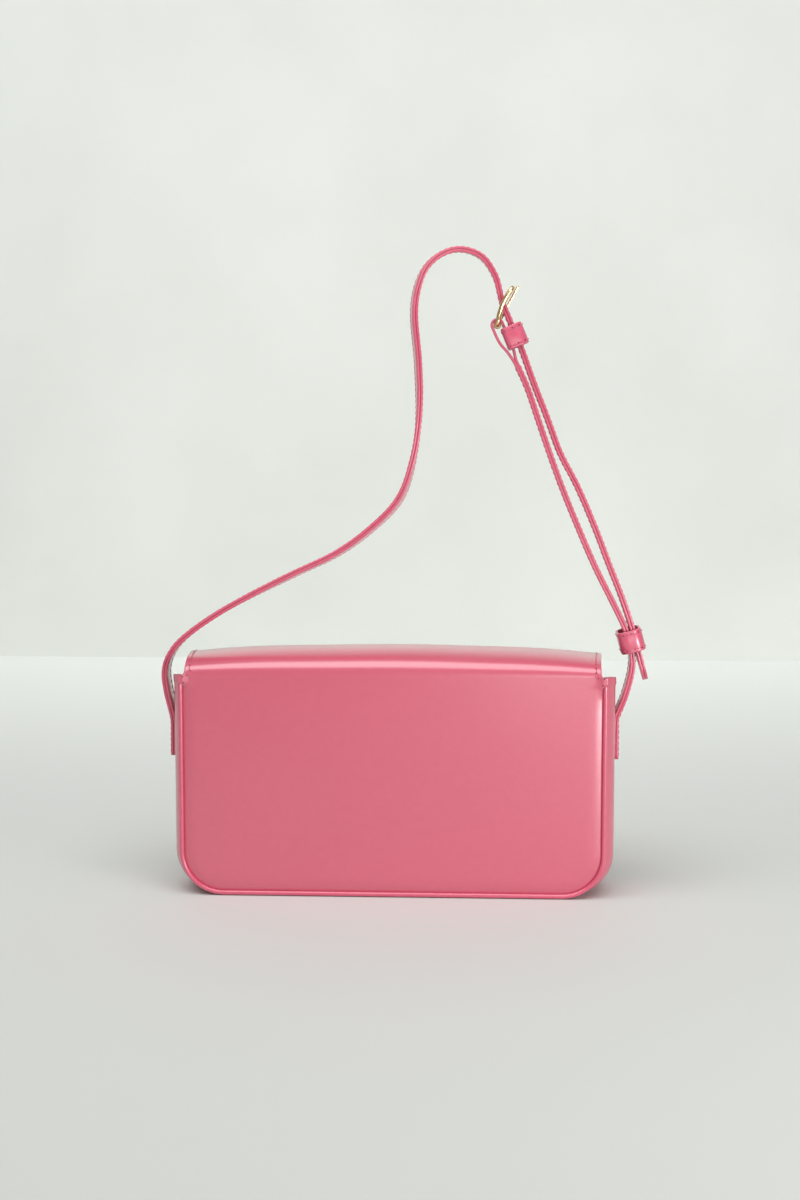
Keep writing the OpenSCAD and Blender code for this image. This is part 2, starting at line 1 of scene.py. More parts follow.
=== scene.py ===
# Looks of a pink baguette bag: smooth leather, piped seams, sewn strap, keepers and a pale gold buckle.
# Lengths are in metres. Z is up, the back of the bag faces -Y and the flap closes over +Y.
import json
import math

import bmesh
import bpy
import numpy as np
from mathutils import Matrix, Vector


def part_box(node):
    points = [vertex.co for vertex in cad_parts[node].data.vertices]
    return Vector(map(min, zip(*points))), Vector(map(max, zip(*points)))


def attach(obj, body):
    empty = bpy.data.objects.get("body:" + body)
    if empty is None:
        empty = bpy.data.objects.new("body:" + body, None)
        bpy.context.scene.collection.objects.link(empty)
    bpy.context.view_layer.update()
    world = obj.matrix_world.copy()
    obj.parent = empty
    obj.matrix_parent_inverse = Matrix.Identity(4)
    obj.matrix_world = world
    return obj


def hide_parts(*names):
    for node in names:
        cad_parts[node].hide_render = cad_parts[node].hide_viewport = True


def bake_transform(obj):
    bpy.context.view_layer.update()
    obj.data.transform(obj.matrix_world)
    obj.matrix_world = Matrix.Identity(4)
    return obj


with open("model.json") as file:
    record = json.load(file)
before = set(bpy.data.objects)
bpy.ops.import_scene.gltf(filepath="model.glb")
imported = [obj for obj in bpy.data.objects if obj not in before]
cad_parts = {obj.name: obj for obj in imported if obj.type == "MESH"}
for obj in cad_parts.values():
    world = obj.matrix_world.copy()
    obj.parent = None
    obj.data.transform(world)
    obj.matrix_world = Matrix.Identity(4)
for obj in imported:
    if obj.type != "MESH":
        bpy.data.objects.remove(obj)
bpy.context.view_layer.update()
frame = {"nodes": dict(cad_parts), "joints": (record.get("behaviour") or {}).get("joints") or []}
MM = 0.001
joints = {j["name"]: j for j in frame["joints"]}

# Sizes read from the frame
piping_lo, piping_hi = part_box("piping_back")
PIPING_R = (piping_hi.y - piping_lo.y) / 2
SEAM_X = piping_hi.x - PIPING_R
SEAM_Y = -(piping_lo.y + piping_hi.y) / 2
BACK_Y = -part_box("back_panel")[0].y
EAR_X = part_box("back_panel")[1].x
SIDE_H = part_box("gusset")[1].z
GUSSET_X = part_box("gusset")[1].x
GUSSET_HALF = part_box("gusset")[1].y
FRONT_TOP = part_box("front_panel")[1].z
FOLD_Z = joints["flap_open"]["pos_m"][2]
FLAP_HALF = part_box("flap_leather")[1].x
FLAP_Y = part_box("flap_leather")[1].y
FLAP_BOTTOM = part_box("flap_leather")[0].z
ROOF_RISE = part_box("flap_leather")[1].z - FOLD_Z
POCKET_LO, POCKET_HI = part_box("inner_pocket")
LINING_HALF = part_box("lining_gusset")[1].y
STRAP_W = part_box("strap_end_left")[1].y * 2
STRAP_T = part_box("strap_end_left")[1].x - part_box("strap_end_left")[0].x
SPAN = -(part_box("strap_end_left")[0].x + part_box("strap_end_left")[1].x) / 2
SEWN_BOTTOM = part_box("strap_end_left")[0].z
LEAVE_Z = joints["strap_swing"]["pos_m"][2]
HEEL = joints["buckle_pivot"]["pos_m"]

# Body leather. Its lower corners are a little tighter than those of the CAD part, as in the photograph.
LEATHER_T = 1.6 * MM
LINING_T = 1.0 * MM
BOARD_T = 1.2 * MM
CORNER_R = 28 * MM
TUCK = 1.4 * MM
CORD_R = 1.45 * MM
CROWN = 1.5 * MM
EDGE_DIP = 2.0 * MM
EDGE_W = 11 * MM
EAR_H = 6 * MM
EAR_RISE = 1.3 * MM
GUSSET_BULGE = GUSSET_X - SEAM_X - LEATHER_T / 2
BASE_FLAT = 0.68
SIDE_POWER = 3.6
BEND_HOLD = 1.7
FRONT_DROP = SIDE_H - FRONT_TOP
WALL_TOP = SIDE_H + 0.8 * MM
SWELL = {1: 1.3 * MM, -1: 0.3 * MM}
HEM_H = 5.4 * MM
HEM_STEP = 0.45 * MM

# Flap
FLAP_T = 2.6 * MM
ROOF_DROOP = 4.7 * MM
ROOF_POWER = 2.6
ROLL_WAVE = 0.35 * MM
FLAP_CORNER_R = 25 * MM
FLAP_OUT = 4 * MM
BEND_OUT = 1.6 * MM
NOTCH_R = 2.6 * MM
EAR_TOP = FOLD_Z
BEND_START = (0, -0.0268, FOLD_Z)
BEND_END = (0, -0.019, FOLD_Z)

# Strap: places in shares of the span and of the rise, as in the CAD part
STRAP_RISE = 298 * MM
KEEPER_H = 14 * MM
KEEPER_T = 1.6 * MM
TAIL_L = 27 * MM
KEEPER_SHARE, KEEPER_LEAN = (0.539, 0.821), math.radians(22.75)
SLIDER_SHARE, SLIDER_LEAN = (1.078, 0.182), math.radians(15.4)
RISING = [(-1, 0), (-1.009, 0.027), (-1.027, 0.067), (-1.035, 0.107), (-1.011, 0.144), (-0.946, 0.181),
          (-0.808, 0.228), (-0.642, 0.272), (-0.446, 0.318), (-0.258, 0.361), (-0.102, 0.414),
          (0.025, 0.478), (0.085, 0.56), (0.111, 0.655), (0.107, 0.762), (0.089, 0.873), (0.12, 0.944),
          (0.185, 0.983), (0.281, 1), (0.382, 0.986), (0.447, 0.944)]
FALLING = [(0.62, 0.721), (0.68, 0.649), (0.738, 0.576), (0.816, 0.505), (0.891, 0.424), (0.956, 0.345),
           (1.017, 0.272)]
GAPS = [g * MM for g in (1.4, 2.3, 2.9, 5.8, 6.3, 5.2, 3.1)]
LANDING = [(1.064, 0.114), (1.043, 0.071), (1.016, 0.034), (1, 0.012), (1, 0)]
TWIST = [(0, 0), (0.12, 0), (0.20, 6), (0.33, 6), (0.43, -8), (0.52, -8), (0.60, 0), (1, 0)]
SWING_START = (0, 0, LEAVE_Z - 0.009)
SWING_END = (0, 0, LEAVE_Z + 0.008)
SEWN_STRAIGHT = 11 * MM

# Thread
THREAD_R = 0.3 * MM
# Radius of the dark disc laid at each needle hole as painted shade
HOLE_SHADE_R = 0.46 * MM
STITCH_PITCH = 3.6 * MM
KEEPER_PITCH = 4.6 * MM
FLAP_SEAM = 3.4 * MM
FRONT_SEAM = 3.2 * MM
BINDING_SEAM = 1.6 * MM
SHARP_ANGLE = math.radians(50)

# Cloth sheets
CLOTH_T = 0.8 * MM
CLOTH_EDGE = 0.2 * MM
CLOTH_FACE = 0.9 * MM


# Materials
def shader(name, roughness):
    material = bpy.data.materials.new(name)
    material.use_nodes = True
    bsdf = material.node_tree.nodes["Principled BSDF"]
    bsdf.inputs["Roughness"].default_value = roughness
    return material, material.node_tree.nodes, material.node_tree.links, bsdf


def noise(nodes, links, scale, detail=3.0, distortion=0.0):
    coords = nodes.new("ShaderNodeTexCoord")
    texture = nodes.new("ShaderNodeTexNoise")
    texture.inputs["Scale"].default_value = scale
    texture.inputs["Detail"].default_value = detail
    texture.inputs["Distortion"].default_value = distortion
    links.new(coords.outputs["Object"], texture.inputs["Vector"])
    return texture.outputs["Fac"]


def ramp(nodes, links, fac, stops):
    node = nodes.new("ShaderNodeValToRGB")
    elements = node.color_ramp.elements
    for i, (place, color) in enumerate(stops):
        element = elements[i] if i < 2 else elements.new(place)
        element.position = place
        element.color = (*color, 1)
    links.new(fac, node.inputs["Fac"])
    return node.outputs["Color"]


def mapped(nodes, links, fac, low, high):
    node = nodes.new("ShaderNodeMapRange")
    node.inputs["To Min"].default_value = low
    node.inputs["To Max"].default_value = high
    links.new(fac, node.inputs["Value"])
    return node.outputs["Result"]


def bump(nodes, links, bsdf, height, distance, strength=1.0, below=None):
    node = nodes.new("ShaderNodeBump")
    node.inputs["Strength"].default_value = strength
    node.inputs["Distance"].default_value = distance
    links.new(height, node.inputs["Height"])
    if below:
        links.new(below, node.inputs["Normal"])
    links.new(node.outputs["Normal"], bsdf.inputs["Normal"])
    return node.outputs["Normal"]


def leather(name, dark, light, roughness, coat):
    """Smooth finished leather: a fine pore grain over long soft waves, under a polished coat."""
    material, nodes, links, bsdf = shader(name, roughness)
    links.new(ramp(nodes, links, noise(nodes, links, 260, 5), [(0.3, dark), (0.7, light)]),
              bsdf.inputs["Base Color"])
    links.new(mapped(nodes, links, noise(nodes, links, 70, 3), roughness - 0.03, roughness + 0.03),
              bsdf.inputs["Roughness"])
    bsdf.inputs["Coat Weight"].default_value = coat
    bsdf.inputs["Coat Roughness"].default_value = 0.24
    bsdf.inputs["Coat IOR"].default_value = 1.7
    waves = bump(nodes, links, bsdf, noise(nodes, links, 14, 1), 0.35 * MM, 0.4)
    cells = nodes.new("ShaderNodeTexVoronoi")
    cells.feature = "SMOOTH_F1"
    cells.inputs["Scale"].default_value = 1500
    coords = nodes.new("ShaderNodeTexCoord")
    links.new(coords.outputs["Object"], cells.inputs["Vector"])
    bump(nodes, links, bsdf, cells.outputs["Distance"], 0.06 * MM, 0.35, waves)
    return material


def cloth(name, dark, light):
    """Matt twill: fine diagonal ribs with a soft sheen."""
    material, nodes, links, bsdf = shader(name, 0.85)
    coords = nodes.new("ShaderNodeTexCoord")
    turned = nodes.new("ShaderNodeMapping")
    turned.inputs["Rotation"].default_value = (0.6, 0.8, 0.5)
    ribs = nodes.new("ShaderNodeTexWave")
    ribs.inputs["Scale"].default_value = 420
    ribs.inputs["Distortion"].default_value = 1.2
    links.new(coords.outputs["Object"], turned.inputs["Vector"])
    links.new(turned.outputs["Vector"], ribs.inputs["Vector"])
    links.new(ramp(nodes, links, ribs.outputs["Fac"], [(0.2, dark), (0.8, light)]), bsdf.inputs["Base Color"])
    bsdf.inputs["Sheen Weight"].default_value = 0.3
    bump(nodes, links, bsdf, ribs.outputs["Fac"], 0.15 * MM, 0.5)
    return material


def gold(name):
    """Polished pale gold plate with faint handling marks."""
    material, nodes, links, bsdf = shader(name, 0.14)
    bsdf.inputs["Metallic"].default_value = 1.0
    stops = [(0.3, (0.80, 0.57, 0.28)), (0.7, (0.88, 0.68, 0.38))]
    links.new(ramp(nodes, links, noise(nodes, links, 140, 3), stops), bsdf.inputs["Base Color"])
    links.new(mapped(nodes, links, noise(nodes, links, 600, 4), 0.10, 0.22), bsdf.inputs["Roughness"])
    bump(nodes, links, bsdf, noise(nodes, links, 900, 2), 0.02 * MM, 0.2)
    return material


def plain(name, dark, light, roughness, scale):
    material, nodes, links, bsdf = shader(name, roughness)
    grain = noise(nodes, links, scale, 4)
    links.new(ramp(nodes, links, grain, [(0.3, dark), (0.7, light)]), bsdf.inputs["Base Color"])
    bump(nodes, links, bsdf, grain, 0.1 * MM, 0.3)
    return material


def ground_with_painted_shade(name, near, far, start, end):
    """Matt floor paint with painted shade: its colour runs from darker near the camera to paler at the wall,
    in place of the fall of light across the floor.
    """
    material, nodes, links, bsdf = shader(name, 0.75)
    coords = nodes.new("ShaderNodeTexCoord")
    split = nodes.new("ShaderNodeSeparateXYZ")
    place = nodes.new("ShaderNodeMapRange")
    place.inputs["From Min"].default_value = start
    place.inputs["From Max"].default_value = end
    links.new(coords.outputs["Object"], split.inputs["Vector"])
    links.new(split.outputs["Y"], place.inputs["Value"])
    links.new(ramp(nodes, links, place.outputs["Result"], [(0, near), (1, far)]), bsdf.inputs["Base Color"])
    bump(nodes, links, bsdf, noise(nodes, links, 30, 5), 0.3 * MM, 0.3)
    return material


PINK = leather("pink_leather", (0.592, 0.088, 0.148), (0.604, 0.094, 0.155), 0.34, 1.0)
EDGE = leather("pink_edge", (0.60, 0.070, 0.140), (0.66, 0.088, 0.162), 0.30, 0.8)
STRAP_PINK = leather("pink_strap", (0.60, 0.083, 0.152), (0.65, 0.100, 0.172), 0.34, 0.7)
LINING = cloth("lining", (0.55, 0.26, 0.27), (0.68, 0.36, 0.36))
BOARD = plain("stiffener", (0.60, 0.57, 0.53), (0.70, 0.67, 0.63), 0.9, 400)
GOLD = gold("pale_gold")
THREAD = plain("thread", (0.56, 0.10, 0.16), (0.68, 0.17, 0.24), 0.55, 2500)
# Near-black pink for the discs at the needle holes: painted shade of the holes, which are not cut
NEEDLE_HOLE_SHADE = plain("needle_hole_shade", (0.06, 0.005, 0.012), (0.09, 0.010, 0.020), 0.9, 2500)


# Mesh tools
def build(name, points, faces, *materials):
    mesh = bpy.data.meshes.new(name)
    mesh.from_pydata([tuple(p) for p in points], [], faces)
    for material in materials:
        mesh.materials.append(material)
    work = bmesh.new()
    work.from_mesh(mesh)
    bmesh.ops.recalc_face_normals(work, faces=work.faces)
    for face in work.faces:
        face.smooth = True
    work.to_mesh(mesh)
    work.free()
    mesh.set_sharp_from_angle(angle=SHARP_ANGLE)
    obj = bpy.data.objects.new(name, mesh)
    bpy.context.scene.collection.objects.link(obj)
    return obj


def finish_piece(obj, slot, *nodes, body=None, blend=None):
    if blend:
        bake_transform(obj)
    else:
        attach(obj, body)
    if nodes:
        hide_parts(*nodes)
    return obj


def loft(name, rings, material, closed=False):
    """A closed skin through rings of points, capped at both ends unless the rings close on themselves."""
    rows, n = len(rings), len(rings[0])
    faces = []
    for i in range(rows if closed else rows - 1):
        low, high = i * n, (i + 1) % rows * n
        faces += [(low + j, low + (j + 1) % n, high + (j + 1) % n, high + j) for j in range(n)]
    if not closed:
        faces += [tuple(range(n)), tuple((rows - 1) * n + j for j in range(n))]
    return build(name, [p for ring in rings for p in ring], faces, material)


def grid_normals(grid):
    """Unit normals of a grid of points, from its neighbours along and across."""
    along = np.gradient(grid, axis=0)
    across = np.gradient(grid, axis=1)
    normal = np.cross(across, along)
    return normal / np.maximum(np.linalg.norm(normal, axis=2, keepdims=True), 1e-12)


def border(grid):
    """The points round a grid, in order."""
    return np.concatenate([grid[0, :-1], grid[:-1, -1], grid[-1, :0:-1], grid[:0:-1, 0]])


def slab(name, surface, thickness, material, round_r=0.5 * MM, flip=1):
    """A sheet of leather or cloth with rounded edges. surface(inset) gives its outer face as a grid, drawn in
    from the outline by inset. The other face lies the given thickness behind it."""
    def face(depth_share, inset):
        grid = surface(inset)
        depth = thickness(grid) if callable(thickness) else thickness
        return grid - flip * depth_share * np.asarray(depth)[..., None] * grid_normals(grid)

    steps = [(0, 1), (0.12, 0.4), (0.5, 0), (0.88, 0.4), (1, 1)]
    levels = [face(share, inset * round_r) for share, inset in steps]
    rows, cols = levels[0].shape[:2]
    index = np.arange(rows * cols).reshape(rows, cols)
    size = rows * cols
    points = [levels[0].reshape(-1, 3), levels[-1].reshape(-1, 3)]
    loops = [border(index[..., None])[:, 0]]
    for k, level in enumerate(levels[1:-1]):
        ring = border(level)
        loops.append(2 * size + k * len(ring) + np.arange(len(ring)))
        points.append(ring)
    loops.append(border(index[..., None])[:, 0] + size)
    faces = []
    for offset in (0, size):
        for i in range(rows - 1):
            for j in range(cols - 1):
                a = offset + i * cols + j
                faces.append((a, a + 1, a + cols + 1, a + cols))
    for low, high in zip(loops[:-1], loops[1:]):
        n = len(low)
        faces += [(int(low[i]), int(low[(i + 1) % n]), int(high[(i + 1) % n]), int(high[i]))
                  for i in range(n)]
    return build(name, np.concatenate(points), faces, material)


def ease(f):
    f = np.clip(f, 0, 1)
    return f * f * (3 - 2 * f)


def columns(half, edge_r, inner_n):
    """Places across each row, close together near the two edges. half holds each row's half width."""
    near = edge_r * (1 - np.sin(np.radians(np.linspace(90, 0, 17))))
    inner = np.linspace(-1, 1, inner_n + 2)[1:-1]
    half = np.asarray(half)[:, None]
    return np.concatenate([near - half, (half - edge_r) * inner, half - near[::-1]], axis=1)


def drop_doubles(obj, distance=0.002 * MM):
    """Joins points that fall together where an outline closes to a corner."""
    work = bmesh.new()
    work.from_mesh(obj.data)
    bmesh.ops.remove_doubles(work, verts=work.verts, dist=distance)
    bmesh.ops.recalc_face_normals(work, faces=work.faces)
    work.to_mesh(obj.data)
    work.free()
    obj.data.set_sharp_from_angle(angle=SHARP_ANGLE)
    return obj


# Stitching
def resample(points, pitch):
    """Evenly spaced places along a line of points, with the index to blend other values by."""
    points = np.asarray(points)
    runs = np.concatenate([[0], np.cumsum(np.linalg.norm(np.diff(points, axis=0), axis=1))])
    count = max(2, int(runs[-1] / pitch))
    stops = np.linspace(0, runs[-1], count + 1)
    return lambda values, shift=0.0: np.stack(
        [np.interp(stops + shift * pitch, runs, np.asarray(values)[:, k]) for k in range(3)], axis=1)


def stitch_mesh(name, lines, pitch, thread=THREAD):
    """One thread for each line of points and normals: stitches that dive into a needle hole between them,
    with a small dark disc laid on the surface at each hole as painted shade for the hole.
    """
    points, faces, marks = [], [], []
    around, spans = 6, [(-0.40, 0.25, -0.9), (-0.34, 0.8, -0.1), (-0.15, 1, 0.45), (0.15, 1, 0.45),
                        (0.34, 0.8, -0.1), (0.40, 0.25, -0.9)]
    for line, normals in lines:
        at = resample(line, pitch)
        centres, up = at(line), at(normals)
        ahead = at(line, 0.25) - at(line, -0.25)
        for c, n, d in zip(centres[:-1], up[:-1], ahead[:-1]):
            d = d / max(np.linalg.norm(d), 1e-9)
            n = n / max(np.linalg.norm(n), 1e-9)
            side = np.cross(d, n)
            first = len(points)
            for place, width, lift in spans:
                middle = c + d * place * pitch + n * lift * THREAD_R
                for k in range(around):
                    a = 2 * math.pi * k / around
                    points.append(middle + THREAD_R * width * (side * math.cos(a) + n * math.sin(a)))
            for i in range(len(spans) - 1):
                low, high = first + i * around, first + (i + 1) * around
                faces += [(low + k, low + (k + 1) % around, high + (k + 1) % around, high + k)
                          for k in range(around)]
            faces += [tuple(first + k for k in range(around)),
                      tuple(first + (len(spans) - 1) * around + k for k in range(around))]
            marks += [0] * (len(faces) - len(marks))
            # A dark disc just above the surface at the needle hole: painted shade in place of the shadow
            # inside the hole
            first = len(points)
            middle = c + d * 0.5 * pitch
            points += [middle + HOLE_SHADE_R * (side * math.cos(a) + 0.85 * d * math.sin(a)) + n * 0.03 * MM
                       for a in np.linspace(0, 2 * math.pi, 9)[:-1]]
            points.append(middle + n * 0.08 * MM)
            points.append(middle - n * 0.2 * MM)
            faces += [(first + k, first + (k + 1) % 8, first + 8) for k in range(8)]
            faces += [(first + (k + 1) % 8, first + k, first + 9) for k in range(8)]
            marks += [1] * (len(faces) - len(marks))
    obj = build(name, points, faces, thread, NEEDLE_HOLE_SHADE)
    obj.data.polygons.foreach_set("material_index", marks)
    return obj


# Back and flap leather: rows go up the back, over the top and down the front
PANEL_HALF = SEAM_X - PIPING_R + TUCK
PANEL_BOTTOM = 2 * PIPING_R - TUCK
PANEL_R = PANEL_HALF - (SEAM_X - CORNER_R + PIPING_R)
ROOF_MID_Y = (FLAP_Y - BACK_Y) / 2
ROOF_HALF_Y = (FLAP_Y + BACK_Y) / 2
EAR_BOTTOM = EAR_TOP - EAR_H


def edge_distance(x, z, half, bottom, r):
    """Distance from a point of a panel to its outline, with rounded bottom corners."""
    dx = np.abs(x) - (half - r)
    dz = bottom + r - z
    corner = r - np.hypot(np.maximum(dx, 0), np.maximum(dz, 0))
    return np.where((dx > 0) & (dz > 0), corner, np.minimum(half - np.abs(x), z - bottom))


def panel_depth(x, z, crown, top):
    """How far a panel's face stands out: crowned, rounded at the piping, over the piping at the ears."""
    d = edge_distance(x, z, PANEL_HALF, PANEL_BOTTOM, PANEL_R)
    at_ear = ease((z - (top - EAR_H - 3 * MM)) / (5 * MM))
    dip = EDGE_DIP * (1 - np.clip(d / EDGE_W, 0, 1)) ** 2.2 * (1 - at_ear)
    across = 1 - np.clip(np.abs(x) / PANEL_HALF, 0, 1) ** 4
    middle = across * np.sin(np.clip(z / (1.12 * FOLD_Z), 0, 1) * math.pi) ** 0.7
    over = EAR_RISE * at_ear * ease((np.abs(x) - PANEL_HALF + 5 * MM) / (4 * MM)) \
        * (1 - ease((z - top + 1 * MM) / (5 * MM)))
    return BACK_Y + crown * middle - dip + over


def ear_half(z, inset, top, notch):
    """Half width of a panel at each height: straight sides, then ears that flare over the piping's ends."""
    half = PANEL_HALF - inset
    bottom = PANEL_BOTTOM + inset
    r = PANEL_R - inset
    rise = np.clip((z - bottom) / r, 0, 1)
    body = half - r + r * np.sqrt(1 - (1 - rise) ** 2)
    corner = 1.8 * MM
    step = np.clip((z - (top - EAR_H) - 0.25 * inset) / corner, 0, 1)
    body = body + (EAR_X - PANEL_HALF) * np.sqrt(1 - (1 - step) ** 2)
    if not notch:
        return body
    fall = np.clip((top - 0.3 * MM + NOTCH_R - z) / NOTCH_R, 0, 1)
    edge = FLAP_HALF + BEND_OUT - inset
    fillet = np.minimum(edge + NOTCH_R * (1 - np.sqrt(1 - fall ** 2)), EAR_X - inset)
    return np.where(z > top - 0.3 * MM, fillet, body)


def panel_rows(top, inset):
    corner = PANEL_R * (1 - np.cos(np.radians(np.linspace(0, 90, 20))))
    low = PANEL_BOTTOM + corner
    middle = np.linspace(low[-1], top - EAR_H - 2 * MM, 16)[1:]
    high = np.linspace(middle[-1], top, 22)[1:]
    z = np.concatenate([low, middle, high])
    return z + inset * (1 - (z - PANEL_BOTTOM) / (top - PANEL_BOTTOM))


def roof_z(x):
    return ROOF_RISE - ROOF_DROOP * (np.abs(x) / FLAP_HALF) ** 3


def power(value, p):
    return np.sign(value) * np.abs(value) ** p


def leather_surface(inset, first=0, last=None):
    """Outer face of the leather that makes the back and the flap."""
    z = panel_rows(FOLD_Z, inset)
    back_half = ear_half(z, inset, EAR_TOP, True)
    a = np.radians(np.linspace(180, 0, 46))[1:]
    rise = power(np.sin(a), 2 / ROOF_POWER)
    forward = power(np.cos(a), 2 / ROOF_POWER)
    edge_z = FOLD_Z + roof_z(FLAP_HALF) * rise
    flare = BEND_OUT + (FLAP_OUT - BEND_OUT) * ease((1 + forward) / 1.6)
    at_notch = edge_z < EAR_TOP + NOTCH_R
    roof_half = np.where(at_notch, ear_half(edge_z, inset, EAR_TOP, True), FLAP_HALF + flare - inset)
    flap_half = FLAP_HALF + FLAP_OUT
    hang = np.concatenate([np.linspace(0, 0.7, 12)[1:], np.linspace(0.7, 1, 14)[1:]])
    half = np.concatenate([back_half, roof_half, np.full(len(hang), flap_half - inset)])
    x = columns(half, FLAP_CORNER_R, 22)
    n, m = len(z), len(a)
    zz = np.empty_like(x)
    yy = np.empty_like(x)
    zz[:n] = z[:, None]
    yy[:n] = -panel_depth(x[:n], zz[:n], CROWN, EAR_TOP)
    xr = x[n:n + m]
    wave = ROLL_WAVE * np.sin(xr / FLAP_HALF * 6.1 + 1.3) * np.cos(xr / FLAP_HALF * 2.3)
    zz[n:n + m] = FOLD_Z + (roof_z(np.minimum(np.abs(xr), FLAP_HALF)) + wave) * rise[:, None]
    stand = -BACK_Y + panel_depth(xr, zz[n:n + m], CROWN, EAR_TOP)
    fade = np.clip(-np.cos(a), 0, 1)[:, None] ** 1.5
    yy[n:n + m] = ROOF_MID_Y + ROOF_HALF_Y * forward[:, None] - stand * fade
    xh = x[n + m:]
    d = np.maximum(np.abs(xh) - (flap_half - FLAP_CORNER_R), 0)
    r = FLAP_CORNER_R - inset
    hem = FLAP_BOTTOM + inset + r - np.sqrt(np.maximum(r * r - np.minimum(d, r) ** 2, 0))
    zz[n + m:] = FOLD_Z + (hem - FOLD_Z) * hang[:, None]
    yy[n + m:] = FLAP_Y
    grid = np.stack([x, yy, zz], axis=2)
    return grid[first:last]


PANEL_N = len(panel_rows(FOLD_Z, 0))


def leather_depth(grid):
    """Thin up the back, thicker in the flap, where a board and the turned edges are inside."""
    row = np.arange(grid.shape[0])[:, None] * np.ones(grid.shape[1])
    return LEATHER_T + (FLAP_T - LEATHER_T) * ease((row - PANEL_N + 2) / 12)


FLAP_BEND = ("body", "flap", BEND_START, BEND_END)
back_flap = slab("back_and_flap_leather", leather_surface, leather_depth, PINK, 0.7 * MM)
finish_piece(drop_doubles(back_flap), "pink_leather", "back_panel", "flap_leather", blend=FLAP_BEND)


def behind(surface, depth):
    """The face that lies the given depth behind another."""
    def moved(inset):
        grid = surface(inset)
        return grid - depth * grid_normals(grid)
    return moved


def flap_inside(edge, start):
    return lambda inset: leather_surface(edge + inset, PANEL_N + start)


board_face = behind(flap_inside(3 * MM, 3), 1.3 * MM)
flap_board = slab("flap_board_sheet", board_face, 0.7 * MM, BOARD, 0.1 * MM)
finish_piece(drop_doubles(flap_board), "stiffener", "flap_board", blend=FLAP_BEND)
lining_face = behind(flap_inside(2.4 * MM, 1), FLAP_T - 0.1 * MM)
flap_lining = slab("flap_lining_sheet", lining_face, 0.6 * MM, LINING, CLOTH_EDGE)
finish_piece(drop_doubles(flap_lining), "lining", "flap_lining", blend=FLAP_BEND)


def outline_line(surface, inset, depth=0.0):
    """A line that runs round a sheet at a distance from its side and bottom edges, with its normals."""
    grid = surface(inset)
    normals = grid_normals(grid)
    grid = grid - depth * normals
    left, right = grid[:, 0], grid[::-1, -1]
    n_left, n_right = normals[:, 0], normals[::-1, -1]
    return np.concatenate([left, grid[-1, 1:-1], right]), np.concatenate([n_left, normals[-1, 1:-1], n_right])


ear_row = int(np.argmin(np.abs(panel_rows(FOLD_Z, 0) - EAR_BOTTOM))) + 2
flap_seam = outline_line(lambda inset: leather_surface(inset, ear_row), FLAP_SEAM)
flap_stitches = stitch_mesh("flap_stitches", [flap_seam], STITCH_PITCH)
finish_piece(flap_stitches, "pink_edge", blend=FLAP_BEND)
inner_seam = outline_line(flap_inside(FLAP_SEAM, 4), 0, FLAP_T + 0.45 * MM)
lining_stitches = stitch_mesh("flap_lining_stitches", [(inner_seam[0], -inner_seam[1])], STITCH_PITCH)
finish_piece(lining_stitches, "pink_edge", blend=FLAP_BEND)


# Front panel
def front_surface(inset):
    z = panel_rows(FRONT_TOP, inset)
    z = z - inset * ease((z - FRONT_TOP + 0.01) / 0.01)
    x = columns(ear_half(z, inset, FRONT_TOP, False), FLAP_CORNER_R, 22)
    zz = np.broadcast_to(z[:, None], x.shape)
    return np.stack([-x, panel_depth(x, zz, 0, FRONT_TOP), zz], axis=2)


front_panel = slab("front_leather", front_surface, LEATHER_T, PINK, 0.6 * MM)
finish_piece(drop_doubles(front_panel), "pink_leather", "front_panel", body="body")
front_top_line = front_surface(FRONT_SEAM)
front_normals = grid_normals(front_top_line)
front_stitches = stitch_mesh("front_stitches", [(front_top_line[-1], front_normals[-1])], STITCH_PITCH)
finish_piece(front_stitches, "pink_edge", body="body")


# Gusset: one strip down one side, along the base and up the other
def seam_path(inset, steps=30):
    """Points of the seam with the outward direction and the share of base at each."""
    r = CORNER_R - PIPING_R
    bend_z = PIPING_R + r
    up = np.concatenate([np.linspace(WALL_TOP - inset, WALL_TOP - HEM_H * 1.25, 12),
                         np.linspace(WALL_TOP - HEM_H * 1.25, bend_z, steps)[1:]])
    a = np.radians(np.linspace(0, 90, 24))[1:]
    right = [(SEAM_X, z, 1, 0, 0) for z in up]
    right += [(SEAM_X - r + r * math.cos(t), bend_z - r * math.sin(t), math.cos(t), -math.sin(t),
               float(ease(t / (math.pi / 2))) ** BEND_HOLD) for t in a]
    half = SEAM_X - r
    base = [(half * (1 - 2 * i / steps), PIPING_R, 0, -1, 1) for i in range(1, steps)]
    left = [(-x, z, -ox, oz, share) for x, z, ox, oz, share in reversed(right)]
    return np.array(right + base + left)


def strip_surface(half_y, depth, hem):
    """A face of the gusset or of its lining, the given depth under the outer face."""
    def surface(inset):
        s = seam_path(inset)
        f = np.sin(np.linspace(-math.pi / 2, math.pi / 2, 31))[None, :]
        share = s[:, 4:5]
        side = GUSSET_BULGE * (1 - np.abs(f) ** SIDE_POWER)
        beside_strap = ease((np.abs(f) - 0.4) / 0.2) * ease((1 - np.abs(f)) / 0.35)
        side = side + np.where(s[:, 0:1] > 0, SWELL[1], SWELL[-1]) * beside_strap
        fall = np.clip((np.abs(f) - BASE_FLAT) / (1 - BASE_FLAT), 0, 1)
        base = (PIPING_R - LEATHER_T / 2) * (1 - fall ** 2)
        out = LEATHER_T / 2 + side * (1 - share) + base * share - depth(share)
        out = out + hem * ease((s[:, 1:2] - WALL_TOP + HEM_H) / (0.8 * MM)) * ease((1 - np.abs(f)) / 0.12)
        x = s[:, 0:1] + s[:, 2:3] * out
        fall = FRONT_DROP * ease((f + 1) / 2) * ease((s[:, 1:2] - LEAVE_Z) / (SIDE_H - LEAVE_Z))
        z = s[:, 1:2] + s[:, 3:4] * out - fall
        y = f * (half_y - inset) * np.ones_like(x)
        return np.stack([x, y, z], axis=2)
    return surface


